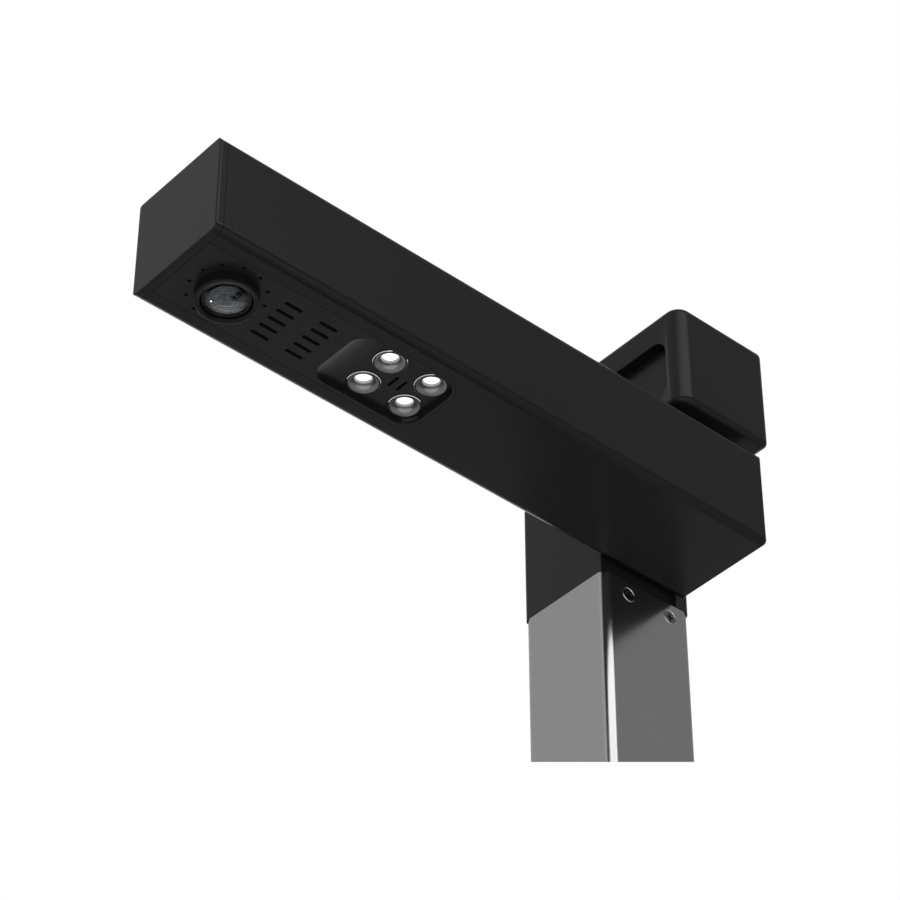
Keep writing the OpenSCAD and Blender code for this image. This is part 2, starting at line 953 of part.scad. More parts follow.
// One dished washer, turned over when flip is 1
module washer_disc(flip) {
    translate([0, 0, flip * (washer_t - 0.02)])
        mirror([0, 0, flip])
            rotate_extrude()
                polygon([[shaft_r + slip, washer_t - 0.9], [shaft_r + 5, 0], [shaft_r + 5, 0.9],
                         [shaft_r + slip, washer_t - 0.02]]);
}

module hinge_nut() {
    color([0.6, 0.6, 0.62])
        on_hinge(pocket_x1 - 0.15 - 2 * washer_t)
            rotate([0, -90, 0])
                difference() {
                    cylinder(h = nut_t, r = 11, $fn = 6);
                    translate([0, 0, -1])
                        cylinder(h = nut_t + 2, r = shaft_r + slip);
                }
}

// Places children at the column's screws, z out of the tube's side at the sign given
module column_screw_spots() {
    for (side = [0, 1], s = [-1, 1])
        mirror([side, 0, 0])
            translate([col_w / 2, col_screw_y + s * col_screw_step / 2, tube_z1 - col_screw_drop])
                rotate([0, 90, 0])
                    children();
}

module column_tube() {
    color([0.45, 0.46, 0.46])
        difference() {
            translate([0, 0, tube_z0])
                linear_extrude(tube_z1 - tube_z0)
                    difference() {
                        rounded(col_w, col_w, col_r);
                        rounded(tube_in, tube_in, col_r - 2);
                    }
            column_screw_spots()
                sunk_hole(col_screw_r, col_screw_head_r, col_wall + 1);
        }
}

module column_screws() {
    color([0.8, 0.8, 0.82])
        column_screw_spots()
            sunk_screw(col_screw_r, col_screw_head_r, col_screw_l);
}

module column_cable() {
    color([0.08, 0.08, 0.08])
        translate([cable_pos[0], cable_pos[1], pad_t + plate_t + foot_floor])
            cylinder(h = head_z0 + head_floor + 4 - pad_t - plate_t - foot_floor, r = cable_r);
}

module neck_block() {
    color([0.05, 0.05, 0.055])
        difference() {
            union() {
                translate([0, 0, tube_z1])
                    linear_extrude(head_z0 - tube_z1)
                        difference() {
                            rounded(col_w, col_w, neck_r);
                            translate([neck_near, -col_w / 2 - 1])
                                square([hinge_recess + 1, col_w - neck_rib + 1]);
                        }
                translate([0, 0, tube_z1 - spigot_l])
                    linear_extrude(spigot_l + eps)
                        rounded(spigot_w, spigot_w, col_r - 2);
            }
            translate([pocket_x0, -pocket_front, hinge_z - pocket_h / 2])
                cube([pocket_x1 - pocket_x0, col_w / 2 + pocket_front + 1, pocket_h]);
            neck_cover_seat(0);
            on_hinge(0)
                rod_x(shaft_r + running_fit + bush_wall + slip, col_w);
            translate([cable_pos[0], cable_pos[1], tube_z1 - spigot_l - 1])
                cylinder(h = head_z0 - tube_z1 + spigot_l + 2, r = cable_r + 0.3);
            neck_cover_screw_spots()
                translate([0, 0, -8])
                    cylinder(h = 9, r = 1.25);
            column_screw_spots()
                translate([0, 0, -col_screw_l - 1])
                    cylinder(h = col_screw_l + 1, r = col_screw_r + slip);
            head_screw_spots()
                translate([0, 0, -14])
                    cylinder(h = 15, r = head_screw_r + slip);
        }
}

// The plate's seat in the back of the neck, less a clearance all round
module neck_cover_seat(less) {
    translate([(pocket_x0 + pocket_x1) / 2, col_w / 2 - neck_cover_t, hinge_z])
        along_y(neck_cover_t + (less > 0 ? 0 : 1))
            rounded(pocket_x1 - pocket_x0 + 2 * neck_cover_over - 2 * less, pocket_h + 4 - 2 * less, 2);
}

// Places children at the neck cover's screws, z pointing out of the back
module neck_cover_screw_spots() {
    for (s = [-1, 1])
        translate([(pocket_x0 + pocket_x1 + s * (pocket_x1 - pocket_x0 + neck_cover_over)) / 2,
                   col_w / 2 - neck_cover_t, hinge_z])
            rotate([-90, 0, 0])
                children();
}

module neck_cover() {
    color([0.07, 0.07, 0.075])
        difference() {
            neck_cover_seat(0.15);
            neck_cover_screw_spots()
                translate([0, 0, neck_cover_t])
                    sunk_hole(1.25, 2.4, neck_cover_t + 1);
        }
}

module neck_cover_screws() {
    color([0.25, 0.25, 0.27])
        neck_cover_screw_spots()
            translate([0, 0, neck_cover_t])
                sunk_screw(1.25 - slip, 2.4, 9);
}

// The box's outer form
module head_form() {
    translate([(head_x0 + head_x1) / 2, (head_back - head_front) / 2, head_z0])
        soft_block(head_w, head_d, head_h, head_r, head_edge_r, head_edge_r);
}

// Places children at the screws that hold the box on the neck, z up from the box's floor
module head_screw_spots() {
    translate([0, 0, head_z0])
        corners(head_screw_step, head_screw_step)
            children();
}

// The box's inside
module head_space() {
    translate([(head_x0 + head_x1) / 2, (head_back - head_front) / 2, head_z0 + head_floor])
        soft_block(head_w - 2 * head_wall, head_d - 2 * head_wall, head_h - head_floor - head_wall,
                   head_r - head_wall, 1.5, 2);
}

// The opening in the box's back, grown all round, from one depth to another
module head_opening(grow, deep, shallow) {
    translate([(head_x0 + head_x1) / 2, head_back - deep, head_z0 + head_h / 2])
        along_y(deep - shallow)
            rounded(head_w - 2 * opening_side + 2 * grow, head_h - 2 * opening_low + 2 * grow,
                    opening_r + grow);
}

// The display recess, grown all round, from the front face to a depth
module display_space(grow, depth) {
    translate([(head_x0 + head_x1) / 2, -head_front - 1, head_z0 + display_low + display_h / 2])
        along_y(depth + 1)
            rounded(display_w + 2 * grow, display_h + 2 * grow, display_r + grow);
}

module head_shell() {
    color([0.06, 0.06, 0.065])
        difference() {
            union() {
                difference() {
                    head_form();
                    head_space();
                }
                intersection() {
                    display_space(tub_wall, display_d + window_t + tub_floor);
                    head_form();
                }
                head_opening(ledge_w, head_wall + ledge_t, head_wall - 1);
                head_cover_screw_spots()
                    translate([0, 0, -head_boss_l])
                        cylinder(h = head_boss_l, r = 3.4);
            }
            head_opening(0, head_wall, -1);
            difference() {
                head_opening(-ledge_w, head_wall + ledge_t + 1, head_wall - 1);
                head_cover_screw_spots()
                    translate([0, 0, -head_boss_l - 1])
                        cylinder(h = head_boss_l + 2, r = 3.4);
            }
            head_cover_screw_spots()
                translate([0, 0, -head_boss_l + 1])
                    cylinder(h = head_boss_l, r = 1.3 + slip);
            display_space(0, display_d + window_t);
            translate([0, 1, 0])
                display_space(-4, display_d + window_t + tub_floor + 1);
            head_screw_spots()
                translate([0, 0, -1])
                    cylinder(h = head_floor + 2, r = head_screw_r + slip);
            translate([cable_pos[0], cable_pos[1], head_z0 - 1])
                cylinder(h = head_floor + 2, r = cable_r + 0.3);
        }
}

// Places children at the head cover's screws, z pointing out of the back from the ledge
module head_cover_screw_spots() {
    for (x = [head_x0 + opening_side + 3, head_x1 - opening_side - 3],
         z = [head_z0 + opening_low + 3, head_z0 + head_h - opening_low - 3])
        translate([x, head_back - head_wall, z])
            rotate([-90, 0, 0])
                children();
}

module head_cover() {
    color([0.07, 0.07, 0.075])
        difference() {
            head_opening(-0.15, head_wall, head_wall - head_cover_t);
            head_cover_screw_spots()
                translate([0, 0, head_cover_t])
                    sunk_hole(1.3, 2.5, head_cover_t + 1);
            for (i = [-4 : 4])
                translate([(head_x0 + head_x1) / 2 + i * cover_vent_step, head_back, head_z0 + head_h * 0.6])
                    cube([cover_vent_w, 4 * head_wall, cover_vent_l], center = true);
        }
}

module head_cover_screws() {
    color([0.25, 0.25, 0.27])
        head_cover_screw_spots()
            translate([0, 0, head_cover_t])
                sunk_screw(1.25, 2.5, head_boss_l);
}

module head_screws() {
    color([0.6, 0.6, 0.62])
        head_screw_spots()
            translate([0, 0, head_floor])
                pan_screw(head_screw_r, 3.6, 2.4, head_floor + head_screw_l);
}

module display_window() {
    color([0.02, 0.02, 0.03])
        intersection() {
            display_space(-0.15, display_d + window_t);
            translate([head_x0, -head_front + display_d, head_z0])
                cube([head_w, window_t, head_h]);
        }
}

module display_module() {
    color([0.3, 0.3, 0.32])
        translate([(head_x0 + head_x1) / 2, -head_front + display_d + window_t + tub_floor,
                   head_z0 + display_low + display_h / 2])
            along_y(module_t)
                rounded(display_w - 3, display_h, 1.5);
}

module main_board() {
    color([0.05, 0.25, 0.12])
        translate([(head_x0 + head_x1) / 2, -head_front + display_d + window_t + tub_floor + module_t,
                   head_z0 + display_low + display_h / 2])
            along_y(board_t)
                rounded(display_w - 4, display_h + 4, 1.5);
}

// Places children on the base's middle
module in_base() {
    translate([base_xc, base_yc, 0])
        children();
}

module base_pad() {
    color([0.09, 0.09, 0.09])
        in_base()
            linear_extrude(pad_t)
                rounded(base_w - 2 * base_wall - 2, base_d - 2 * base_wall - 2, base_r - base_wall);
}

// Places children at the base plate's screws
module base_screw_spots() {
    in_base()
        for (p = [[-1, -1], [1, -1], [-1, 1], [1, 1], [-1, 0], [1, 0]])
            translate([p[0] * (base_w / 2 - base_wall - boss_r - 1),
                       p[1] * (base_d / 2 - base_wall - boss_r - 1), 0])
                children();
}

module base_plate() {
    color([0.35, 0.35, 0.37])
        difference() {
            in_base()
                translate([0, 0, pad_t])
                    linear_extrude(plate_t)
                        rounded(base_w - 2 * base_wall - 2 * plate_gap,
                                base_d - 2 * base_wall - 2 * plate_gap,
                                base_r - base_wall);
            base_screw_spots()
                translate([0, 0, pad_t])
                    mirror([0, 0, 1])
                        sunk_hole(base_screw_r, 3, plate_t + 1);
            corners(foot_bolt_step, foot_bolt_step)
                translate([0, 0, pad_t])
                    mirror([0, 0, 1])
                        sunk_hole(2.5, 5, plate_t + 1);
        }
}

module base_screws() {
    color([0.6, 0.6, 0.62])
        base_screw_spots()
            translate([0, 0, pad_t])
                mirror([0, 0, 1])
                    sunk_screw(base_screw_r, 3, plate_t + base_screw_l);
}

// The control strip's outline at a height, less a clearance all round
module strip_form(z, h, less) {
    translate([base_xc, strip_y, z])
        linear_extrude(h)
            rounded(strip_l - 2 * less, strip_w - 2 * less, 3);
}

// Each button's place along X and its radius
button_x = [-button_step, 0, button_step];
button_r = [small_button_r, scan_button_r, small_button_r];

module base_cover() {
    color([0.06, 0.06, 0.065])
        difference() {
            union() {
                difference() {
                    in_base()
                        translate([0, 0, pad_t])
                            intersection() {
                                linear_extrude(base_h - pad_t)
                                    rounded(base_w, base_d, base_r);
                                translate([-base_w / 2, 0, (base_h - pad_t) / 2 - 4])
                                    along_x(base_w)
                                        rounded(base_d, base_h - pad_t + 8, 2);
                                translate([0, -base_d / 2, (base_h - pad_t) / 2 - 4])
                                    along_y(base_d)
                                        rounded(base_w, base_h - pad_t + 8, 2);
                            }
                    in_base()
                        translate([0, 0, pad_t - 1])
                            linear_extrude(cover_top - pad_t + 1)
                                rounded(base_w - 2 * base_wall, base_d - 2 * base_wall, base_r - base_wall);
                }
                base_screw_spots()
                    translate([0, 0, pad_t + plate_t])
                        cylinder(h = cover_top - pad_t - plate_t + eps, r = boss_r);
            }
            base_screw_spots()
                translate([0, 0, pad_t + plate_t - 1])
                    cylinder(h = 12, r = base_screw_r + slip);
            translate([0, 0, cover_top - 1])
                linear_extrude(base_wall + 2)
                    rounded(col_w + 0.8, col_w + 0.8, col_r + 0.4);
            strip_form(base_h - strip_t, strip_t + 1, 0);
            for (i = [0 : 2])
                translate([base_xc + button_x[i], strip_y, cover_top - 1])
                    cylinder(h = base_wall + 2, r = button_r[i] + button_fit);
            translate([jack_x, base_back - base_wall - 1, jack_z])
                rod_y(jack_r + 0.3, base_wall + 2);
            translate([data_x, base_back - base_wall - 1, data_z])
                along_y(base_wall + 2)
                    rounded(9.6, 3.8, 1.7);
        }
}

module control_strip() {
    color([0.03, 0.03, 0.035])
        difference() {
            strip_form(base_h - strip_t, strip_t, 0.1);
            for (i = [0 : 2])
                translate([base_xc + button_x[i], strip_y, base_h - strip_t - 1])
                    cylinder(h = strip_t + 2, r = button_r[i] + button_fit);
        }
}

// One button cap: a dished disc with a guide flange under the cover
module button_cap(i) {
    r = button_r[i];
    translate([base_xc + button_x[i], strip_y, 0])
        rotate_extrude()
            polygon([
                [0, base_h + button_proud - 0.4], [r - 1.2, base_h + button_proud],
                [r - 0.4, base_h + button_proud],
                [r, base_h + button_proud - 0.4], [r, cover_top - 0.1], [r + 1.2, cover_top - 0.1],
                [r + 1.2, cover_top - 0.1 - button_flange_t], [2, cover_top - 0.1 - button_flange_t],
                [2, stem_z], [0, stem_z]
            ]);
}

button_board_z = pad_t + plate_t + 3;
stem_z = button_board_z + board_t + switch_h + button_travel + 0.1;

module power_button() {
    color([0.3, 0.3, 0.32])
        button_cap(0);
}

module scan_button() {
    color([0.55, 0.56, 0.58])
        button_cap(1);
}

module lamp_button() {
    color([0.3, 0.3, 0.32])
        button_cap(2);
}

module button_board() {
    color([0.05, 0.25, 0.12]) {
        translate([base_xc, strip_y, button_board_z])
            linear_extrude(board_t)
                rounded(strip_l - 10, strip_w - 4, 1.5);
        for (x = button_x)
            translate([base_xc + x - 3, strip_y - 3, button_board_z + board_t - eps])
                cube([6, 6, switch_h]);
        translate([base_xc, strip_y, pad_t + plate_t])
            corners(strip_l - 18, 8)
                cylinder(h = 3 + eps, r = 2);
    }
}

module port_board() {
    color([0.05, 0.25, 0.12]) {
        translate([port_board_x, port_board_y, port_board_z])
            linear_extrude(board_t)
                rounded(port_board_w, port_board_l, 1.5);
        translate([port_board_x, port_board_y, pad_t + plate_t])
            corners(port_board_w - 8, port_board_l - 8)
                cylinder(h = port_board_z - pad_t - plate_t + eps, r = 2);
    }
}

module data_port() {
    color([0.75, 0.75, 0.77])
        translate([data_x, base_back - base_wall - 8, data_z]) {
            difference() {
                along_y(base_wall + 7)
                    rounded(9, 3.2, 1.4);
                translate([0, 1, 0])
                    along_y(base_wall + 7)
                        rounded(8.3, 2.5, 1.1);
            }
            translate([-3.2, 0.5, -0.35])
                cube([6.4, base_wall + 5, 0.7]);
        }
}

module power_jack() {
    color([0.1, 0.1, 0.1])
        translate([jack_x, base_back - base_wall - 12, jack_z]) {
            difference() {
                union() {
                    translate([-4.2, 0, -jack_r])
                        cube([8.4, 11.5, 8]);
                    rod_y(jack_r, 12 + base_wall - 0.5);
                }
                translate([0, 3, 0])
                    rod_y(2.9, 20);
            }
            translate([0, 2, 0])
                rod_y(1, 12);
        }
}

module tube_foot() {
    color([0.4, 0.4, 0.42])
        difference() {
            union() {
                translate([0, 0, pad_t + plate_t])
                    linear_extrude(tube_z0 - pad_t - plate_t)
                        rounded(foot_w, foot_w, 4);
                translate([0, 0, tube_z0 - eps])
                    linear_extrude(foot_spigot_l)
                        rounded(spigot_w, spigot_w, col_r - 2);
            }
            translate([0, 0, pad_t + plate_t + foot_floor])
                linear_extrude(tube_z0 + foot_spigot_l)
                    rounded(spigot_w - 8, spigot_w - 8, 2);
            corners(foot_bolt_step, foot_bolt_step)
                translate([0, 0, pad_t + plate_t - 1])
                    cylinder(h = 9, r = 2.5 + slip);
        }
}

module foot_bolts() {
    color([0.6, 0.6, 0.62])
        corners(foot_bolt_step, foot_bolt_step)
            translate([0, 0, pad_t])
                mirror([0, 0, 1])
                    sunk_screw(2.5, 5, plate_t + 5.5);
}

base_pad();
base_plate();
base_screws();
base_cover();
control_strip();
scan_button();
power_button();
lamp_button();
button_board();
port_board();
data_port();
power_jack();
tube_foot();
foot_bolts();
column_tube();
column_screws();
column_cable();
neck_block();
neck_cover();
neck_cover_screws();
hinge_bush();
friction_disc();
hinge_shaft();
spring_washers();
hinge_nut();
hinge_bracket();
hinge_screws();
head_shell();
head_cover();
head_cover_screws();
head_screws();
display_window();
display_module();
main_board();
arm_shell();
front_cap();
rear_cap();
rear_cap_screws();
underside_panel();
lens_barrel();
lens_cell();
front_lens();
rear_lens();
camera_board();
image_sensor();
camera_screws();
microphone_board();
lamp_reflectors();
lamp_diodes();
lamp_board();
lamp_heat_sink();
scan_board();
heat_sink();
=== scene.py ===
import json
import math

import bmesh
import bpy
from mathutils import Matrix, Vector


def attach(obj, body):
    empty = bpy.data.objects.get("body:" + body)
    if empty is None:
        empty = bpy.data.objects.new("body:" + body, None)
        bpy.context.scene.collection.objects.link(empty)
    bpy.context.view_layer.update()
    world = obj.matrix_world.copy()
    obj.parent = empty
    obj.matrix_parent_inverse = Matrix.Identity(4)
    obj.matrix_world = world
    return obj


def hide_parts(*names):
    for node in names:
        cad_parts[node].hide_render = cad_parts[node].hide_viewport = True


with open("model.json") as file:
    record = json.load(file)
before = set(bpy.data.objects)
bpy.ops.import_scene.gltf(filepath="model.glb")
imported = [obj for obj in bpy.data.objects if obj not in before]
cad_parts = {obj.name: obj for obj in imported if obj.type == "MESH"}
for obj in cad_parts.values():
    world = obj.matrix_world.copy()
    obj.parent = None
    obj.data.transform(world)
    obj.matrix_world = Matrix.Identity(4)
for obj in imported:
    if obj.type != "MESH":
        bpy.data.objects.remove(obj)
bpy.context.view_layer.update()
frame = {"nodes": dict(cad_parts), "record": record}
nodes = frame["nodes"]
mm = 0.001
weld, touch = 1e-7, 1e-5  # how close two points are that are one, or that lie on the same level
bodyOf = {n: body for body, members in frame["record"]["behaviour"]["bodies"].items() for n in members}
print("frame loaded with", len(nodes), "nodes")

# The camera looks up at the arm from under the desk's edge, as the photograph does
camera = {"place": (0.9075, -0.8915, -0.5537), "azimuth": 48.979, "elevation": -39.774, "lens": 129.05,
          "sensor": 36, "near": 0.05, "far": 40}


def aimedFrom(azimuth, elevation):
    a, e = math.radians(azimuth), math.radians(elevation)
    return Vector((math.sin(a) * math.cos(e), -math.cos(a) * math.cos(e), math.sin(e)))


camData = bpy.data.cameras.new("photoCamera")
camData.lens, camData.sensor_width = camera["lens"], camera["sensor"]
camData.clip_start, camData.clip_end = camera["near"], camera["far"]
camObject = bpy.data.objects.new("photoCamera", camData)
bpy.context.scene.collection.objects.link(camObject)
camObject.rotation_mode = "QUATERNION"
camObject.location = camera["place"]
camObject.rotation_quaternion = (-aimedFrom(camera["azimuth"], camera["elevation"])).to_track_quat("-Z", "Y")
bpy.context.scene.camera = camObject
print("camera set")


class Wire:  # a node's output, with the arithmetic that the finishes use
    def __init__(self, paint, socket):
        self.paint, self.socket = paint, socket

    def maths(self, operation, other, reflected=False):
        a, b = (other, self) if reflected else (self, other)
        return self.paint.add("ShaderNodeMath", {"operation": operation}, {0: a, 1: b})

    def __add__(self, other):
        return self.maths("ADD", other)

    def __sub__(self, other):
        return self.maths("SUBTRACT", other)

    def __rsub__(self, other):
        return self.maths("SUBTRACT", other, True)

    def __mul__(self, other):
        return self.maths("MULTIPLY", other)

    def __truediv__(self, other):
        return self.maths("DIVIDE", other)

    def __rtruediv__(self, other):
        return self.maths("DIVIDE", other, True)

    def __gt__(self, other):
        return self.maths("GREATER_THAN", other)

    def __lt__(self, other):
        return self.maths("LESS_THAN", other)

    def __abs__(self):
        return self.maths("ABSOLUTE", 0)

    __radd__ = __add__
    __rmul__ = __mul__


class Paint:  # the nodes of a material, or of the world
    def __init__(self, owner, coordinates="Object"):
        owner.use_nodes = True
        self.owner, self.tree = owner, owner.node_tree
        self.shader = self.tree.nodes.get("Principled BSDF")
        self.place = self.add("ShaderNodeTexCoord", {}, {}, coordinates)

    def add(self, kind, settings, inputs, out=0):  # settings come first, as they change the sockets
        node = self.tree.nodes.new(kind)
        for key, value in settings.items():
            if key == "stops":
                ramp = node.color_ramp
                while len(ramp.elements) < len(value):
                    ramp.elements.new(0.5)
                for element, (at, tone) in zip(ramp.elements, value):
                    element.position = at
                    element.color = (tone, tone, tone, 1) if isinstance(tone, (int, float)) else (*tone, 1)
            else:
                setattr(node, key, value)
        for key, value in inputs.items():
            self.feed(node.inputs[key], value)
        return Wire(self, node.outputs[out])

    def feed(self, socket, value):
        if isinstance(value, Wire):
            self.tree.links.new(value.socket, socket)
        elif isinstance(value, tuple) and len(value) == 3 and socket.type == "RGBA":
            socket.default_value = (*value, 1)
        else:
            socket.default_value = value

    def set(self, **values):  # sockets of the Principled shader
        for key, value in values.items():
            self.feed(self.shader.inputs[key.replace("_", " ")], value)
        return self

    def noise(self, size, detail=3, rough=0.55, place=None):  # size in metres
        return self.add("ShaderNodeTexNoise", {}, {
            "Vector": place or self.place, "Scale": 1 / size, "Detail": detail, "Roughness": rough})

    def stretched(self, x, y, z):
        return self.add("ShaderNodeMapping", {}, {"Vector": self.place, "Scale": (x, y, z)})

    def between(self, mask, low, high):  # a number that runs from low to high
        return self.add("ShaderNodeMapRange", {"clamp": True}, {"Value": mask, "To Min": low, "To Max": high})

    def ramp(self, mask, stops):
        return self.add("ShaderNodeValToRGB", {"stops": stops}, {"Fac": mask})

    def blendOf(self, mask, low, high):  # colours
        return self.add("ShaderNodeMix", {"data_type": "RGBA"}, {0: mask, 6: low, 7: high}, 2)

    def bump(self, height, depth):
        return self.add("ShaderNodeBump", {}, {"Height": height, "Distance": depth, "Strength": 1.0})

    def axes(self):
        split = self.add("ShaderNodeSeparateXYZ", {}, {"Vector": self.place})
        return split, Wire(self, split.socket.node.outputs[1]), Wire(self, split.socket.node.outputs[2])


def scaled(tone, by):
    return tuple(c * by for c in tone)


def mouldedPlastic(name, tone, rough, grain=0.00035, depth=0.000012, gloss=0.16):
    p = Paint(bpy.data.materials.new(name))
    cloud, fine = p.noise(0.06, 2), p.noise(grain, 4, 0.65)
    dust = p.ramp(p.noise(0.0021, 6, 0.8), [(0.66, 0.0), (0.8, 1.0)])
    low, high = tuple(tone * k for k in (0.92, 0.92, 0.93)), tuple(tone * k for k in (1.08, 1.08, 1.09))
    p.set(Base_Color=p.blendOf(dust * 0.06, p.blendOf(cloud, low, high), (0.09, 0.09, 0.088)),
          Roughness=p.between(fine * 0.6 + cloud * 0.4, rough - 0.05, rough + 0.05),
          Specular_IOR_Level=gloss, Normal=p.bump(fine, depth))
    return p.owner


def anodised(name, tone, rough, along="z", blast=0.0002):  # drawn or blasted along one axis
    p = Paint(bpy.data.materials.new(name))
    pulls = {"x": (0.004, 1, 1), "y": (1, 0.004, 1), "z": (1, 1, 0.004)}[along]
    lines = p.noise(0.0003, 3, 0.6, p.stretched(*pulls))
    grit, cloud = p.noise(blast, 3, 0.7), p.noise(0.09, 2)
    low, high = tuple(tone * k for k in (0.965, 0.975, 0.97)), tuple(tone * k for k in (1.01, 1.03, 1.02))
    p.set(Metallic=1.0, Base_Color=p.blendOf(lines * 0.4 + grit * 0.3 + cloud * 0.3, low, high),
          Roughness=p.between(grit * 0.5 + cloud * 0.5, rough - 0.04, rough + 0.04),
          Normal=p.bump(lines * 0.5 + grit * 0.5, 0.000004))
    return p.owner


def brightMetal(name, tone, rough, peel=0.0012, depth=0.000004):
    p = Paint(bpy.data.materials.new(name))
    ripple, spots = p.noise(peel, 2, 0.4), p.noise(0.0003, 5, 0.7)
    p.set(Metallic=1.0, Base_Color=p.blendOf(spots, scaled(tone, 0.95), tone),
          Roughness=p.between(spots, rough * 0.8, rough * 1.25), Normal=p.bump(ripple, depth))
    return p.owner


def turnedSteel(name, tone, rough):
    p = Paint(bpy.data.materials.new(name))
    scratches = p.noise(0.00016, 4, 0.7, p.stretched(1, 1, 0.12))
    stain = p.noise(0.004, 4, 0.6)
    p.set(Metallic=1.0, Base_Color=p.blendOf(stain, scaled(tone, 0.86), tone),
          Roughness=p.between(scratches * 0.6 + stain * 0.4, rough - 0.08, rough + 0.1),
          Normal=p.bump(scratches, 0.000006))
    return p.owner


def circuitBoard(name):
    p = Paint(bpy.data.materials.new(name))
    tracks = p.add("ShaderNodeTexBrick", {"offset": 0.4}, {
        "Vector": p.place, "Scale": 240.0, "Mortar Size": 0.05,
        "Color1": (1, 1, 1), "Color2": (0.6, 0.6, 0.6), "Mortar": (0, 0, 0)}, "Fac")
    dots = p.add("ShaderNodeTexVoronoi", {"feature": "F1"}, {"Vector": p.place, "Scale": 260.0}, "Distance")
    pads = dots < 0.22
    weave = p.noise(0.0004, 3)
    green = p.blendOf(tracks, (0.006, 0.06, 0.028), (0.012, 0.11, 0.05))
    p.set(Base_Color=p.blendOf(pads, green, (0.55, 0.5, 0.38)), Metallic=pads * 0.8,
          Roughness=p.between(weave, 0.3, 0.42),
          Normal=p.bump(tracks * 0.4 + pads * 0.5 + weave * 0.1, 0.00003))
    return p.owner


def rubber(name):
    p = Paint(bpy.data.materials.new(name))
    dots = p.add("ShaderNodeTexVoronoi", {"feature": "F1"}, {
        "Vector": p.place, "Scale": 420.0, "Randomness": 0.12}, "Distance")
    fine = p.noise(0.0005, 4)
    p.set(Base_Color=p.blendOf(fine, (0.018, 0.018, 0.018), (0.035, 0.034, 0.033)),
          Roughness=p.between(fine, 0.75, 0.9), Normal=p.bump(1 - dots, 0.0003))
    return p.owner


def clearGlass(name, rough, edge, centre, index):
    p = Paint(bpy.data.materials.new(name))
    film = p.noise(0.02, 3)
    facing = p.add("ShaderNodeLayerWeight", {}, {"Blend": 0.35}, 1)
    p.set(Base_Color=p.blendOf(facing, centre, edge), Roughness=p.between(film, rough * 0.7, rough * 1.4),
          Transmission_Weight=1.0, IOR=index)
    return p.owner


def coatedGlass(name, centre, middle, edge, coat=0.6):
    p = Paint(bpy.data.materials.new(name))
    film = p.noise(0.004, 3)
    facing = p.add("ShaderNodeLayerWeight", {}, {"Blend": 0.5}, 1)
    tint = p.ramp(facing * 0.85 + film * 0.15, [(0.05, centre), (0.32, middle), (0.7, edge)])
    p.set(Base_Color=tint, Metallic=0.85, Roughness=p.between(film, 0.03, 0.08), Coat_Weight=coat,
          Coat_Roughness=0.02)
    return p.owner


def phosphor(name):
    p = Paint(bpy.data.materials.new(name))
    grit = p.noise(0.0002, 4)
    p.set(Base_Color=p.blendOf(grit, (0.62, 0.5, 0.16), (0.85, 0.75, 0.4)),
          Roughness=p.between(grit, 0.18, 0.3), Coat_Weight=1.0, Coat_Roughness=0.04)
    return p.owner


def glowing(name, tone, strength):
    p = Paint(bpy.data.materials.new(name))
    grit = p.noise(0.0006, 4)
    p.set(Base_Color=p.blendOf(grit, (0.7, 0.7, 0.7), (0.85, 0.85, 0.85)),
          Roughness=p.between(grit, 0.3, 0.4), Emission_Strength=strength,
          Emission_Color=p.blendOf(grit, scaled(tone, 0.94), tone))
    return p.owner


def jacket(name):
    p = Paint(bpy.data.materials.new(name))
    lay = p.add("ShaderNodeMath", {"operation": "SINE"}, {0: p.axes()[2] * 900.0})
    fine = p.noise(0.0008, 3)
    p.set(Base_Color=p.blendOf(fine, (0.012, 0.012, 0.012), (0.03, 0.03, 0.03)),
          Roughness=p.between(fine, 0.45, 0.6), Normal=p.bump(lay * 0.3 + fine * 0.7, 0.00008))
    return p.owner


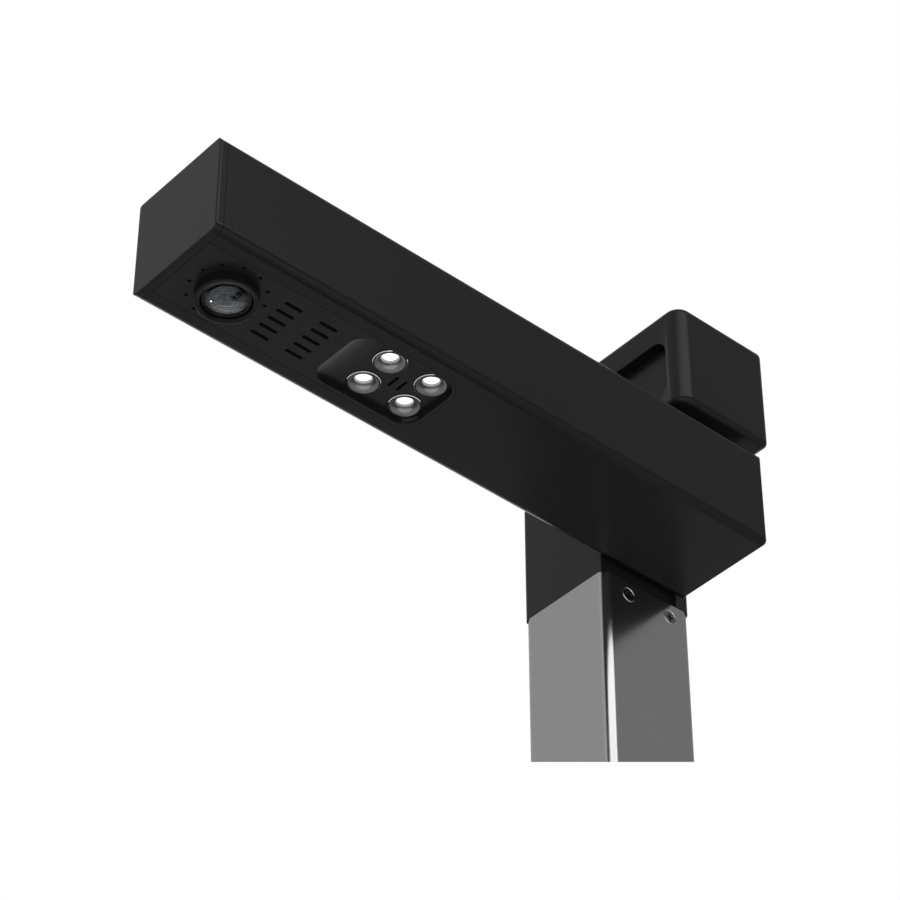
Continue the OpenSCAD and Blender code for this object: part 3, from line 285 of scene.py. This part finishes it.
finishes = {
    "blackShell": (mouldedPlastic, 0.009, 0.25),
    "blackNeck": (mouldedPlastic, 0.015, 0.3),
    "blackPanel": (mouldedPlastic, 0.0105, 0.27, 0.0003, 0.000014),
    "blackOptic": (mouldedPlastic, 0.006, 0.2, 0.0002, 0.000003, 0.15),
    "greyCap": (mouldedPlastic, 0.06, 0.4, 0.0003, 0.00001),
    "stripFilm": (mouldedPlastic, 0.005, 0.25, 0.0004, 0.000008),
    "tubeAluminium": (anodised, 0.395, 0.2),
    "castMetal": (anodised, 0.42, 0.45, "x", 0.0006),
    "sinkAluminium": (anodised, 0.5, 0.35, "y", 0.0004),
    "buttonAluminium": (anodised, 0.5, 0.3, "x"),
    "chrome": (brightMetal, (0.92, 0.93, 0.94), 0.07),
    "satinBowl": (brightMetal, (0.22, 0.222, 0.225), 0.32, 0.0016, 0.000003),
    "diffuser": (glowing, (0.97, 0.98, 1.0), 1.5),
    "darkRing": (brightMetal, (0.3, 0.3, 0.31), 0.16),
    "nickel": (brightMetal, (0.72, 0.7, 0.66), 0.16, 0.0006),
    "bronze": (brightMetal, (0.62, 0.42, 0.2), 0.3, 0.0008, 0.00001),
    "springSteel": (turnedSteel, (0.45, 0.45, 0.47), 0.3),
    "screwSteel": (turnedSteel, (0.66, 0.67, 0.68), 0.16),
    "blackScrew": (turnedSteel, (0.06, 0.06, 0.065), 0.34),
    "darkScrew": (turnedSteel, (0.2, 0.2, 0.205), 0.2),
    "plateSteel": (turnedSteel, (0.2, 0.2, 0.21), 0.45),
    "board": (circuitBoard,),
    "rubber": (rubber,),
    "greyRetainer": (brightMetal, (0.075, 0.076, 0.082), 0.24, 0.0012, 0.0000005),
    "frontGlass": (clearGlass, 0.012, (0.95, 0.98, 1.0), (1.0, 1.0, 1.0), 1.19),
    "coatedGlass": (coatedGlass, (0.16, 0.13, 0.2), (0.1, 0.22, 0.26), (0.5, 0.6, 0.66)),
    "bloomedGlass": (coatedGlass, (0.03, 0.024, 0.042), (0.035, 0.03, 0.05), (0.08, 0.12, 0.13), 0.1),
    "smokedGlass": (mouldedPlastic, 0.007, 0.28, 0.0002, 0.000002),
    "sensorGlass": (coatedGlass, (0.03, 0.03, 0.05), (0.05, 0.06, 0.1), (0.2, 0.25, 0.3)),
    "phosphor": (phosphor,),
    "jacket": (jacket,),
}
finish = {name: maker(name, *values) for name, (maker, *values) in finishes.items()}
print("finishes made:", len(finish))

nodeFinish = {
    "base_pad": "rubber", "base_plate": "plateSteel", "base_screws": "screwSteel", "base_cover": "blackShell",
    "control_strip": "stripFilm", "scan_button": "buttonAluminium", "power_button": "greyCap",
    "lamp_button": "greyCap", "button_board": "board", "port_board": "board", "data_port": "nickel",
    "power_jack": "blackOptic", "tube_foot": "castMetal", "foot_bolts": "screwSteel",
    "column_tube": "tubeAluminium", "column_screws": "darkScrew", "column_cable": "jacket",
    "neck_block": "blackNeck", "neck_cover": "blackNeck", "neck_cover_screws": "blackScrew",
    "hinge_bush": "bronze", "friction_disc": "rubber", "hinge_shaft": "screwSteel",
    "spring_washers": "springSteel", "hinge_nut": "screwSteel", "hinge_bracket": "castMetal",
    "hinge_screws": "screwSteel", "head_shell": "blackShell", "head_cover": "blackShell",
    "head_cover_screws": "blackScrew", "head_screws": "screwSteel", "display_window": "smokedGlass",
    "display_module": "nickel", "main_board": "board", "arm_shell": "blackShell", "front_cap": "blackShell",
    "rear_cap": "blackShell", "rear_cap_screws": "blackScrew", "underside_panel": "blackPanel",
    "lens_barrel": "blackOptic", "lens_cell": "blackOptic", "front_lens": "frontGlass",
    "rear_lens": "coatedGlass", "camera_board": "board", "image_sensor": "sensorGlass",
    "camera_screws": "screwSteel", "microphone_board": "board", "lamp_reflectors": "chrome",
    "lamp_diodes": "phosphor", "lamp_board": "board", "lamp_heat_sink": "sinkAluminium",
    "scan_board": "board", "heat_sink": "sinkAluminium",
}


def dress(ob, finishName):
    ob.data.materials.clear()
    ob.data.materials.append(finish[finishName])


for name, ob in nodes.items():
    dress(ob, nodeFinish[name])
print("nodes dressed:", len(nodeFinish))


sharpAngle = math.radians(32)


def smoothed(ob):
    for face in ob.data.polygons:
        face.use_smooth = True
    ob.data.set_sharp_from_angle(angle=sharpAngle)


def addPiece(name, bm, finishName, *stoodFor, body=None):  # rides with the node that it stands for
    bmesh.ops.remove_doubles(bm, verts=bm.verts, dist=weld)
    bmesh.ops.recalc_face_normals(bm, faces=bm.faces)
    mesh = bpy.data.meshes.new(name)
    bm.to_mesh(mesh)
    bm.free()
    ob = bpy.data.objects.new(name, mesh)
    bpy.context.scene.collection.objects.link(ob)
    dress(ob, finishName)
    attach(ob, body or bodyOf[stoodFor[0]])
    if stoodFor:
        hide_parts(*stoodFor)
    smoothed(ob)
    return ob


def evenShading(ob):
    ob.modifiers.new("evenShading", "WEIGHTED_NORMAL").keep_sharp = True


def merged(nodeName):  # a copy of a node's mesh with its loose triangles joined
    bm = bmesh.new()
    bm.from_mesh(nodes[nodeName].data)
    bmesh.ops.remove_doubles(bm, verts=bm.verts, dist=10 * weld)
    bmesh.ops.dissolve_degenerate(bm, dist=weld, edges=bm.edges)
    bmesh.ops.dissolve_limit(bm, angle_limit=math.radians(0.4), verts=bm.verts, edges=bm.edges)
    return bm


def soften(bm, edges, width, segments):
    return bmesh.ops.bevel(bm, geom=list(edges), offset=width * mm, offset_type="OFFSET", segments=segments,
                           profile=0.5, affect="EDGES", clamp_overlap=True, material=-1)


def turned(bm, outline, place, steps, closed=False):  # spins a profile of radii and heights, in mm, about z
    points = [bm.verts.new((place[0] + r * mm, place[1], place[2] + h * mm)) for r, h in outline]
    edges = [bm.edges.new(pair) for pair in zip(points, points[1:])]
    if closed:
        edges.append(bm.edges.new((points[-1], points[0])))
    bmesh.ops.spin(bm, geom=points + edges, cent=place, axis=(0, 0, 1), angle=math.tau, steps=steps,
                   use_merge=True)
    bmesh.ops.remove_doubles(bm, verts=bm.verts, dist=weld)


def softRings(bm, rings, place, segments=4):  # rounds the ring at each radius and height
    for radius, height, width in rings:
        ring = [e for e in bm.edges if all(
            abs(math.hypot(v.co.x - place[0], v.co.y - place[1]) - radius * mm) < 2 * touch
            and abs(v.co.z - place[2] - height * mm) < 2 * touch for v in e.verts)]
        soften(bm, ring, width, segments)


def spanOf(nodeName):  # a node's lowest and highest corner
    corners = [nodes[nodeName].matrix_world @ Vector(c) for c in nodes[nodeName].bound_box]
    return Vector(map(min, zip(*corners))), Vector(map(max, zip(*corners)))


# Shells keep the CAD's form and get the small radius a mould or a cutter leaves
softEdges = {
    "arm_shell": 0.05, "front_cap": 0.05, "rear_cap": 0.25, "head_cover": 0.25, "neck_block": 0.25,
    "neck_cover": 0.25, "column_tube": 0.2, "base_cover": 0.3, "control_strip": 0.12, "display_window": 0.2,
    "column_screws": 0.1, "rear_cap_screws": 0.08, "neck_cover_screws": 0.08, "head_cover_screws": 0.08,
    "base_screws": 0.1, "foot_bolts": 0.1, "base_plate": 0.3, "base_pad": 0.2, "tube_foot": 0.3,
    "hinge_nut": 0.3, "hinge_bracket": 0.3, "scan_button": 0.15, "power_button": 0.15, "lamp_button": 0.15,
    "power_jack": 0.15, "data_port": 0.08,
}
rib = {"wider": 2.2, "deep": 20, "from": 6, "to": 8.5}  # the neck's rib beside the hinge, broadened forwards
for name, width in softEdges.items():
    bm = merged(name)
    if name == "neck_block":
        high = spanOf(name)[1]
        bmesh.ops.translate(bm, vec=(0, -rib["wider"] * mm, 0), verts=[
            v for v in bm.verts
            if v.co.x > high.x - rib["deep"] * mm and rib["from"] * mm < high.y - v.co.y < rib["to"] * mm])
    ob = addPiece(name + "_finished", bm, nodeFinish[name], name)
    bevel = ob.modifiers.new("softEdge", "BEVEL")
    bevel.width, bevel.segments, bevel.limit_method = width * mm, 2, "ANGLE"
    bevel.angle_limit, bevel.profile, bevel.harden_normals = sharpAngle, 0.5, False
    evenShading(ob)
print("shells finished:", len(softEdges))

underside = spanOf("arm_shell")[0].z
barrelLow, barrelHigh = spanOf("lens_barrel")
lensAxis = Vector(((barrelLow.x + barrelHigh.x) / 2, (barrelLow.y + barrelHigh.y) / 2, underside))

# Bright rings at the edges of the column's dark screw heads
heads = {"radius": 3.75, "edge": 4.1, "bead": 0.2, "beadSteps": 10, "steps": 48}
low, high = spanOf("column_screws")
bm = bmesh.new()
for y in (low.y + heads["edge"] * mm, high.y - heads["edge"] * mm):
    centre = Vector((high.x, y, (low.z + high.z) / 2))
    bead = bmesh.ops.create_circle(bm, segments=heads["beadSteps"], radius=heads["bead"] * mm,
                                   cap_ends=False)["verts"]
    bmesh.ops.translate(bm, verts=bead, vec=centre + Vector((0, heads["radius"] * mm, 0)))
    around = list({e for v in bead for e in v.link_edges})
    bmesh.ops.spin(bm, geom=bead + around, cent=centre, axis=(1, 0, 0), angle=math.tau, steps=heads["steps"],
                   use_merge=True)
addPiece("column_screw_rings", bm, "chrome", body=bodyOf["column_screws"])
print("screw rings made")

# The panel: a broad soft rim round its recess, where the light catches it, and wider pinholes round the lens
panel = {"rim": 0.8, "rimSteps": 5, "rimTurn": 20, "edge": 0.15, "edgeSteps": 2, "edgeTurn": 40,
         "recessFront": 16, "recessBack": 12, "recessHalf": 18.7, "sideFrom": 16.5, "shortest": 3}
pins = {"count": 12, "turn": 16, "circle": 17.9, "reach": 0.9, "wider": 1.36}
recessLow, recessHigh = spanOf("lamp_board")
bm = merged("underside_panel")


def inRecess(v):
    return (recessLow.y - panel["recessFront"] * mm < v.co.y < recessHigh.y + panel["recessBack"] * mm
            and abs(v.co.x - lensAxis.x) < panel["recessHalf"] * mm)


def lowEdges(degrees):  # edges of the panel's lower face that turn by more than an angle
    return [e for e in bm.edges if all(abs(v.co.z - underside) < touch for v in e.verts)
            and len(e.link_faces) == 2 and e.calc_face_angle(0) > math.radians(degrees)]


rim = [e for e in lowEdges(panel["rimTurn"]) if all(inRecess(v) for v in e.verts)]
soften(bm, rim, panel["rim"], panel["rimSteps"])
for i in range(pins["count"]):
    angle = math.radians(pins["turn"] + i * 360 / pins["count"])
    pin = lensAxis + Vector((math.cos(angle), math.sin(angle), 0)) * pins["circle"] * mm
    for v in bm.verts:
        if math.hypot(v.co.x - pin.x, v.co.y - pin.y) < pins["reach"] * mm:
            v.co.x = pin.x + (v.co.x - pin.x) * pins["wider"]
            v.co.y = pin.y + (v.co.y - pin.y) * pins["wider"]
outline = [e for e in lowEdges(panel["edgeTurn"])
           if not inRecess(e.verts[0]) and e.calc_length() > panel["shortest"] * mm
           and abs(e.verts[0].co.x - lensAxis.x) > panel["sideFrom"] * mm]
soften(bm, outline, panel["edge"], panel["edgeSteps"])
evenShading(addPiece("underside_panel_finished", bm, "blackPanel", "underside_panel"))
print("panel finished, rim edges:", len(rim))

# Lens: a barrel with a dished rim, a groove, a bezel, and front glass over a smaller lens in a grey retainer
barrel = {"radius": 14.4, "out": 5.3, "round": 0.4, "face": 1.0, "wall": 2.55, "dish": 0.4, "inside": 0.12,
          "top": 13.0, "steps": 160}
inner, rimAt = barrel["radius"] - barrel["wall"], barrel["dish"] - barrel["out"]
bm = bmesh.new()
turned(bm, [(barrel["radius"], barrel["top"]), (barrel["radius"], -barrel["out"]),
            (barrel["radius"] - barrel["face"], -barrel["out"]), (inner, rimAt), (inner, barrel["top"])],
       lensAxis, barrel["steps"], closed=True)
softRings(bm, [(inner, rimAt, barrel["inside"]), (barrel["radius"], -barrel["out"], barrel["round"])],
          lensAxis)
addPiece("lens_barrel_finished", bm, "blackOptic", "lens_barrel")

bezel = {"radius": 11.2, "front": -4.2, "round": 0.45, "lip": 9.75, "set": 0.5, "lipRound": 0.12,
         "shelf": -2.1, "bore": 8.3, "ring": 5.0, "ringAt": -4.15, "ringFoot": 0.7, "ringRise": 0.45,
         "ringFlat": 0.15, "ringIn": 0.2, "ringFall": 0.25, "pipe": 4.8, "pipeTop": 2.5, "throat": 5.4,
         "throatLow": 2.6, "throatTop": 7.0, "rear": 8.45, "top": 13.0, "steps": 144}
ring, ringAt, lipAt = bezel["ring"], bezel["ringAt"], bezel["front"] + bezel["set"]
bm = bmesh.new()
turned(bm, [(bezel["radius"], bezel["top"]), (bezel["radius"], bezel["front"]), (bezel["lip"], lipAt),
            (bezel["lip"], bezel["shelf"]), (bezel["bore"], bezel["shelf"]),
            (ring + bezel["ringFoot"], ringAt + bezel["ringRise"]), (ring + bezel["ringFlat"], ringAt),
            (ring, ringAt), (ring - bezel["ringIn"], ringAt + bezel["ringFall"]),
            (bezel["pipe"], bezel["pipeTop"]), (bezel["throat"], bezel["throatLow"]),
            (bezel["throat"], bezel["throatTop"]), (bezel["rear"], bezel["throatTop"]),
            (bezel["rear"], bezel["top"])], lensAxis, bezel["steps"], closed=True)
softRings(bm, [(bezel["radius"], bezel["front"], bezel["round"]), (bezel["lip"], lipAt, bezel["lipRound"])],
          lensAxis)
addPiece("lens_cell_finished", bm, "blackOptic", "lens_cell")

inside = {"radius": 4.75, "edge": -3.95, "crown": 1.1, "thick": 1.6, "rings": 10, "steps": 72}
insideBall = (inside["radius"] ** 2 + inside["crown"] ** 2) / (2 * inside["crown"])
insideRear = inside["edge"] + inside["thick"]
bm = bmesh.new()
turned(bm, [(r, inside["edge"] + insideBall - inside["crown"] - math.sqrt(insideBall ** 2 - r ** 2))
            for r in (inside["radius"] * i / inside["rings"] for i in range(inside["rings"] + 1))]
       + [(inside["radius"], insideRear), (0, insideRear)], lensAxis, inside["steps"])
addPiece("middle_lens", bm, "bloomedGlass", body=bodyOf["lens_cell"])
seatRing = {"out": 0.12, "crest": 0.02, "inward": 0.1, "rise": 0.05, "top": 0.09, "fall": 0.02,
            "back": 0.25, "steps": 96}
outer, inward, back = ring + seatRing["out"], ring - seatRing["inward"], ringAt + seatRing["back"]
bm = bmesh.new()
turned(bm, [(outer, ringAt - seatRing["rise"]), (ring + seatRing["crest"], ringAt - seatRing["top"]),
            (inward, ringAt + seatRing["fall"]), (inward, back), (outer, back)],
       lensAxis, seatRing["steps"], closed=True)
addPiece("middle_lens_ring", bm, "darkRing", body=bodyOf["lens_cell"])
retainer = {"wide": 8.3, "base": -2.0, "rise": -3.1, "crest": 5.8, "crestAt": -4.0, "narrow": 5.14,
            "front": -4.1, "back": -3.5, "hollow": 7.4, "steps": 96}
bm = bmesh.new()
turned(bm, [(retainer["wide"], retainer["base"]), (retainer["wide"], retainer["rise"]),
            (retainer["crest"], retainer["crestAt"]), (retainer["narrow"], retainer["front"]),
            (retainer["narrow"], retainer["back"]), (retainer["hollow"], retainer["base"])],
       lensAxis, retainer["steps"], closed=True)
addPiece("middle_lens_retainer", bm, "greyRetainer", body=bodyOf["lens_cell"])

dome = {"radius": 9.7, "sag": 2.6, "front": -4.2, "edge": 2.0, "thick": 1.2, "bore": 8.4, "rings": 14,
        "hollowRings": 10, "steps": 96}
ball = (dome["radius"] ** 2 + dome["sag"] ** 2) / (2 * dome["sag"])
domeRear = dome["front"] + dome["edge"]


def cap(reach, radius, rings):  # a shallow dome's profile, out from the axis
    return [(reach * i / rings,
             dome["front"] + ball - dome["sag"] - math.sqrt(radius ** 2 - (reach * i / rings) ** 2))
            for i in range(rings + 1)]


bm = bmesh.new()
turned(bm, cap(dome["radius"], ball, dome["rings"]) + [(dome["radius"], domeRear), (dome["bore"], domeRear)]
       + cap(dome["bore"], ball - dome["thick"], dome["hollowRings"])[::-1], lensAxis, dome["steps"])
addPiece("front_lens_finished", bm, "frontGlass", "front_lens")
print("lens built")

# Lamp reflectors: a flared satin bowl round a lit diffuser, a groove, and a bright ring at the collar's edge
cup = {"across": 9.35, "along": 12.25, "mouth": 6.9, "disc": 3.75, "sunk": 4.6, "rings": 18, "rim": 0.16,
       "rimAt": 0.05, "rimEnd": 3.55, "foot": 5.6, "footWall": 0.9, "throat": 4.4, "deep": 8.0, "back": 2.2,
       "floor": 7.0, "sink": 3.25, "steps": 96}
collar = {"radius": 8.05, "proud": 0.65, "slope": 0.26, "groove": 0.34, "grooveDeep": 1.2, "flange": 9.1,
          "seat": 2.55, "end": 3.5, "gap": 0.02, "ringThick": 0.1}
diffuser = {"crown": 0.35, "fit": 0.03, "edge": 0.05, "thick": 0.9, "steps": 64}
diodeLow, diodeHigh = spanOf("lamp_diodes")
cupMid = (diodeLow + diodeHigh) / 2
lampSpots = [(cupMid.x + sx * cup["across"] * mm, cupMid.y + sy * cup["along"] * mm,
              underside + (cup["sink"] - collar["proud"]) * mm) for sx in (-1, 1) for sy in (-1, 1)]
disc, sunk, crown = cup["disc"], cup["sunk"], diffuser["crown"]
flare = 2 * math.atan((cup["mouth"] - disc) / sunk)
sweep = sunk / math.sin(flare)
bowl = [(disc + sweep * (1 - math.cos(turn)), sunk - sweep * math.sin(turn))
        for turn in (flare * i / cup["rings"] for i in range(cup["rings"] + 1))]
lip = cup["mouth"] + cup["rim"]
wide, gap, slope = collar["radius"], collar["gap"], collar["slope"]
grooveOut, grooveIn = lip + collar["groove"], lip + gap
discEdge, discBack = disc - diffuser["fit"], sunk + diffuser["thick"]
bowls, collars, rings, discs = bmesh.new(), bmesh.new(), bmesh.new(), bmesh.new()
for spot in lampSpots:
    turned(bowls, bowl + [(lip, cup["rimAt"]), (lip, cup["rimEnd"]), (disc + cup["footWall"], cup["foot"]),
                          (cup["throat"], cup["deep"]), (cup["back"], cup["deep"]),
                          (cup["back"], cup["floor"]), (disc, cup["foot"])],
           spot, cup["steps"], closed=True)
    turned(collars, [(grooveOut, gap), (grooveOut, collar["grooveDeep"]), (grooveIn, collar["grooveDeep"]),
                     (grooveIn, collar["end"]), (collar["flange"], collar["end"]),
                     (collar["flange"], collar["seat"]), (wide, collar["seat"]), (wide, slope),
                     (wide - slope, gap)], spot, cup["steps"], closed=True)
    turned(rings, [(wide - slope - gap, 0.0), (wide + gap, slope), (wide + gap, slope + collar["ringThick"]),
                   (wide - slope - gap, collar["ringThick"])], spot, cup["steps"], closed=True)
    turned(discs, [(0, sunk - crown), (disc * 0.5, sunk - crown * 0.75), (disc * 0.85, sunk - crown * 0.25),
                   (discEdge, sunk + diffuser["edge"]), (discEdge, discBack), (0, discBack)],
           spot, diffuser["steps"])
lampBody = bodyOf["lamp_reflectors"]
addPiece("lamp_reflectors_finished", bowls, "satinBowl", "lamp_reflectors")
addPiece("lamp_collars", collars, "blackPanel", body=lampBody)
addPiece("lamp_collar_rings", rings, "chrome", body=lampBody)
addPiece("lamp_diffusers", discs, "diffuser", body=lampBody)
print("reflectors built, bowl points:", len(bowl))

# Display box: a block with rolled corners, a soft-lipped pocket in front and an opening behind for its cover
box = {"corner": 8.1, "cornerSteps": 12, "rear": 3.7, "roll": 3.45, "rollSteps": 8, "tall": 10,
       "squareTurn": 80}
pocket = {"side": 11.6, "low": 9.6, "high": 35.0, "corner": 8.0, "deep": 7.0, "lip": 0.9, "lipSteps": 6}
opening = {"side": 9.5, "low": 6.5, "corner": 3.0, "deep": 16.0, "lip": 0.3}
boxLow, boxHigh = spanOf("head_shell")
bm = bmesh.new()
bmesh.ops.create_cube(bm, size=1.0)
bmesh.ops.scale(bm, verts=bm.verts, vec=boxHigh - boxLow)
bmesh.ops.translate(bm, verts=bm.verts, vec=(boxLow + boxHigh) / 2)


def drop(e):  # how much higher one end of an edge is
    return abs(e.verts[0].co.z - e.verts[1].co.z)


tall = box["tall"] * mm
soften(bm, [e for e in bm.edges if drop(e) > tall and e.verts[0].co.y <= 0],
       box["corner"], box["cornerSteps"])
soften(bm, [e for e in bm.edges if drop(e) > tall and min(v.co.y for v in e.verts) > boxHigh.y - touch],
       box["rear"], box["rollSteps"])
soften(bm, [e for e in bm.edges if drop(e) < touch and len(e.link_faces) == 2
            and e.calc_face_angle(0) > math.radians(box["squareTurn"])], box["roll"], box["rollSteps"])


def flatFace(bm, direction):  # the large flat face on one side
    return max((f for f in bm.faces if f.normal.dot(direction) > 0.99), key=lambda f: f.calc_area())


def holeIn(bm, direction, low, high, y, corner, deep, lip):  # a soft-lipped hole, by its corners' x and z
    flat = flatFace(bm, direction)
    border = list(flat.edges)
    known = set(bm.faces)
    grown = lip * mm
    left, right, bottom, top = low[0] - grown, high[0] + grown, low[1] - grown, high[1] + grown
    square = [bm.verts.new((x, y, z)) for x, z in (
        (left, bottom), (right, bottom), (right, top), (left, top))]
    bm.faces.new(square if direction.y < 0 else square[::-1])
    bmesh.ops.bevel(bm, geom=square, offset=(corner + lip) * mm, offset_type="OFFSET", profile=0.5,
                    segments=box["cornerSteps"], affect="VERTICES", clamp_overlap=True, material=-1)
    hole = next(f for f in bm.faces if f not in known)
    mouth = list(hole.edges)
    bmesh.ops.delete(bm, geom=[flat], context="FACES_ONLY")
    bm.normal_update()
    turns = [math.pi / 2 * i / pocket["lipSteps"] for i in range(pocket["lipSteps"] + 1)]
    for a, b in zip(turns, turns[1:]):
        bmesh.ops.inset_region(bm, faces=[hole], thickness=grown * (math.sin(b) - math.sin(a)),
                               depth=-grown * (math.cos(a) - math.cos(b)), use_even_offset=True)
    pushed = bmesh.ops.extrude_discrete_faces(bm, faces=[hole])["faces"]
    bmesh.ops.translate(bm, verts=list({v for f in pushed for v in f.verts}),
                        vec=-direction * (deep - lip) * mm)
    bmesh.ops.triangle_fill(bm, edges=mouth + border, use_beauty=True, use_dissolve=False, normal=direction)
    bmesh.ops.recalc_face_normals(bm, faces=bm.faces)


bm.normal_update()
side, low = pocket["side"] * mm, boxLow.z + pocket["low"] * mm
holeIn(bm, Vector((0, -1, 0)), (boxLow.x + side, low), (boxHigh.x - side, low + pocket["high"] * mm),
       boxLow.y, pocket["corner"], pocket["deep"], pocket["lip"])
side, low = opening["side"] * mm, opening["low"] * mm
holeIn(bm, Vector((0, 1, 0)), (boxLow.x + side, boxLow.z + low), (boxHigh.x - side, boxHigh.z - low),
       boxHigh.y, opening["corner"], opening["deep"], opening["lip"])
evenShading(addPiece("head_shell_finished", bm, "blackShell", "head_shell"))
print("display box built")

# A pale sheet under the object; from below it is clear, but for a strip where the photograph's column ends
floor = {"half": 3.0, "near": 0.4566, "stripFrom": 0.372, "stripHalf": 0.13}
across = Vector((math.cos(math.radians(camera["azimuth"])), math.sin(math.radians(camera["azimuth"])), 0))
toward = Vector((across.y, -across.x, 0))
bm = bmesh.new()
half, near = floor["half"], floor["near"]
bm.faces.new([bm.verts.new(across * s + toward * t)
              for s, t in ((-half, near), (half, near), (half, -half), (-half, -half))])
mesh = bpy.data.meshes.new("deskSheet")
bm.to_mesh(mesh)
bm.free()
sheet = bpy.data.objects.new("deskSheet", mesh)
bpy.context.scene.collection.objects.link(sheet)
p = Paint(bpy.data.materials.new("deskSheet"))
p.set(Base_Color=p.blendOf(p.noise(0.2, 2), (0.79, 0.79, 0.79), (0.81, 0.81, 0.81)), Roughness=0.7)
x, y, z = p.axes()
inStrip = x * toward.x + y * toward.y > floor["stripFrom"]
inStrip = inStrip * (abs(x * across.x + y * across.y) < floor["stripHalf"])
below = p.add("ShaderNodeNewGeometry", {}, {}, "Backfacing")
white = p.add("ShaderNodeEmission", {}, {"Color": (1, 1, 1), "Strength": 1.0})
clear = p.add("ShaderNodeBsdfTransparent", {}, {"Color": (1, 1, 1)})
under = p.add("ShaderNodeMixShader", {}, {0: inStrip, 1: clear, 2: white})
lit = p.add("ShaderNodeMixShader", {}, {0: below, 1: Wire(p, p.shader.outputs[0]), 2: under})
p.feed(p.tree.nodes["Material Output"].inputs["Surface"], lit)
mesh.materials.append(p.owner)

world = bpy.data.worlds.new("studio")
bpy.context.scene.world = world
sky = {"level": 0.5, "low": 1.3, "lowFrom": 0.03, "lowTo": 0.34, "ground": 0.55,
       "fallTo": -0.3, "fallFrom": -0.12}
# The upper sky by turn about z: brighter on the object's left and front than on its right
skyRound = [(0.0, 0.68), (0.1, 1.17), (0.4, 1.17), (0.44, 1.4), (0.59, 1.4), (0.612, 0.6), (0.63, 0.6),
            (0.66, 0.7), (1.0, 0.7)]
w = Paint(world, "Generated")
seen = w.add("ShaderNodeLightPath", {}, {}, "Is Camera Ray")
x, y, z = w.axes()
around = w.add("ShaderNodeMath", {"operation": "ARCTAN2"}, {0: x, 1: 0 - y}) / math.tau + 0.5
upper = sky["level"] * w.ramp(around, skyRound)
toCamera = x * across.y - y * across.x
lower = w.add("ShaderNodeMapRange", {"interpolation_type": "SMOOTHSTEP"}, {
    "Value": toCamera, "From Min": sky["lowFrom"], "From Max": sky["lowTo"],
    "To Min": sky["ground"], "To Max": sky["low"]})
falling = w.add("ShaderNodeMapRange", {"interpolation_type": "SMOOTHSTEP"}, {
    "Value": z, "From Min": sky["fallTo"], "From Max": sky["fallFrom"], "To Min": 1.0, "To Max": 0.0})
strength = seen + (1 - seen) * (upper * (1 - falling) + lower * falling)
background = w.tree.nodes["Background"]
w.feed(background.inputs["Color"], (1, 1, 1))
w.feed(background.inputs["Strength"], strength)

middle, armEnd = Vector((0.05, -0.1, 0.35)), Vector((0.06, -0.312, 0.428))
lights = {
    "sideBox": {"azimuth": 74, "elevation": 40, "distance": 2.2, "at": middle, "size": (2.75, 0.8),
                "power": 15.5},
    "backCard": {"azimuth": 229, "elevation": 7, "distance": 2.0, "at": middle, "size": (2.4, 1.2),
                 "power": 9},
    "capBox": {"azimuth": -49, "elevation": 40, "distance": 0.32, "at": armEnd, "size": (0.17, 0.17),
               "power": 0.003},
}


def placeLight(data, at, back, distance):  # aimed at a point, and not seen by the camera itself
    ob = bpy.data.objects.new(data.name, data)
    bpy.context.scene.collection.objects.link(ob)
    ob.rotation_mode = "QUATERNION"
    ob.location = at + back * distance
    ob.rotation_quaternion = back.to_track_quat("Z", "Y")
    ob.visible_camera = False


for name, light in lights.items():
    data = bpy.data.lights.new(name, "AREA")
    data.shape, data.size, data.size_y, data.energy = "RECTANGLE", *light["size"], light["power"]
    placeLight(data, light["at"], aimedFrom(light["azimuth"], light["elevation"]), light["distance"])

# Narrow spots leave a studio's glints on the front lens, at places across it and away from the camera, in mm
glints = {"distance": 0.2, "power": 0.2, "radius": 0.004, "cone": 2.6, "blend": 0.3,
          "white": (1, 1, 1), "teal": (0.1, 0.5, 0.42),
          "spots": [(-2.0, -2.2, "white"), (0.9, -3.8, "white"), (3.0, -1.6, "white"), (0.1, 0.4, "white"),
                    (-6.9, -0.8, "white"), (-3.3, -5.2, "teal"), (-0.4, -6.2, "teal"), (4.1, -5.6, "teal")]}
ballMid = lensAxis + Vector((0, 0, (dome["front"] + ball - dome["sag"]) * mm))
for i, (aside, away, tint) in enumerate(glints["spots"]):
    data = bpy.data.lights.new("glint%d" % i, "SPOT")
    data.energy, data.shadow_soft_size, data.color = glints["power"], glints["radius"], glints[tint]
    data.spot_size, data.spot_blend = math.radians(glints["cone"]), glints["blend"]
    down = Vector((0, 0, -math.sqrt(ball ** 2 - aside ** 2 - away ** 2) * mm))
    facing = (across * aside - toward * away) * mm + down
    spot = ballMid + facing
    facing.normalize()
    seenFrom = (Vector(camera["place"]) - spot).normalized()
    placeLight(data, spot, 2 * facing.dot(seenFrom) * facing - seenFrom, glints["distance"])
bpy.context.scene.view_settings.view_transform = "Standard"
bpy.context.scene.view_settings.look = "None"
print("studio set")
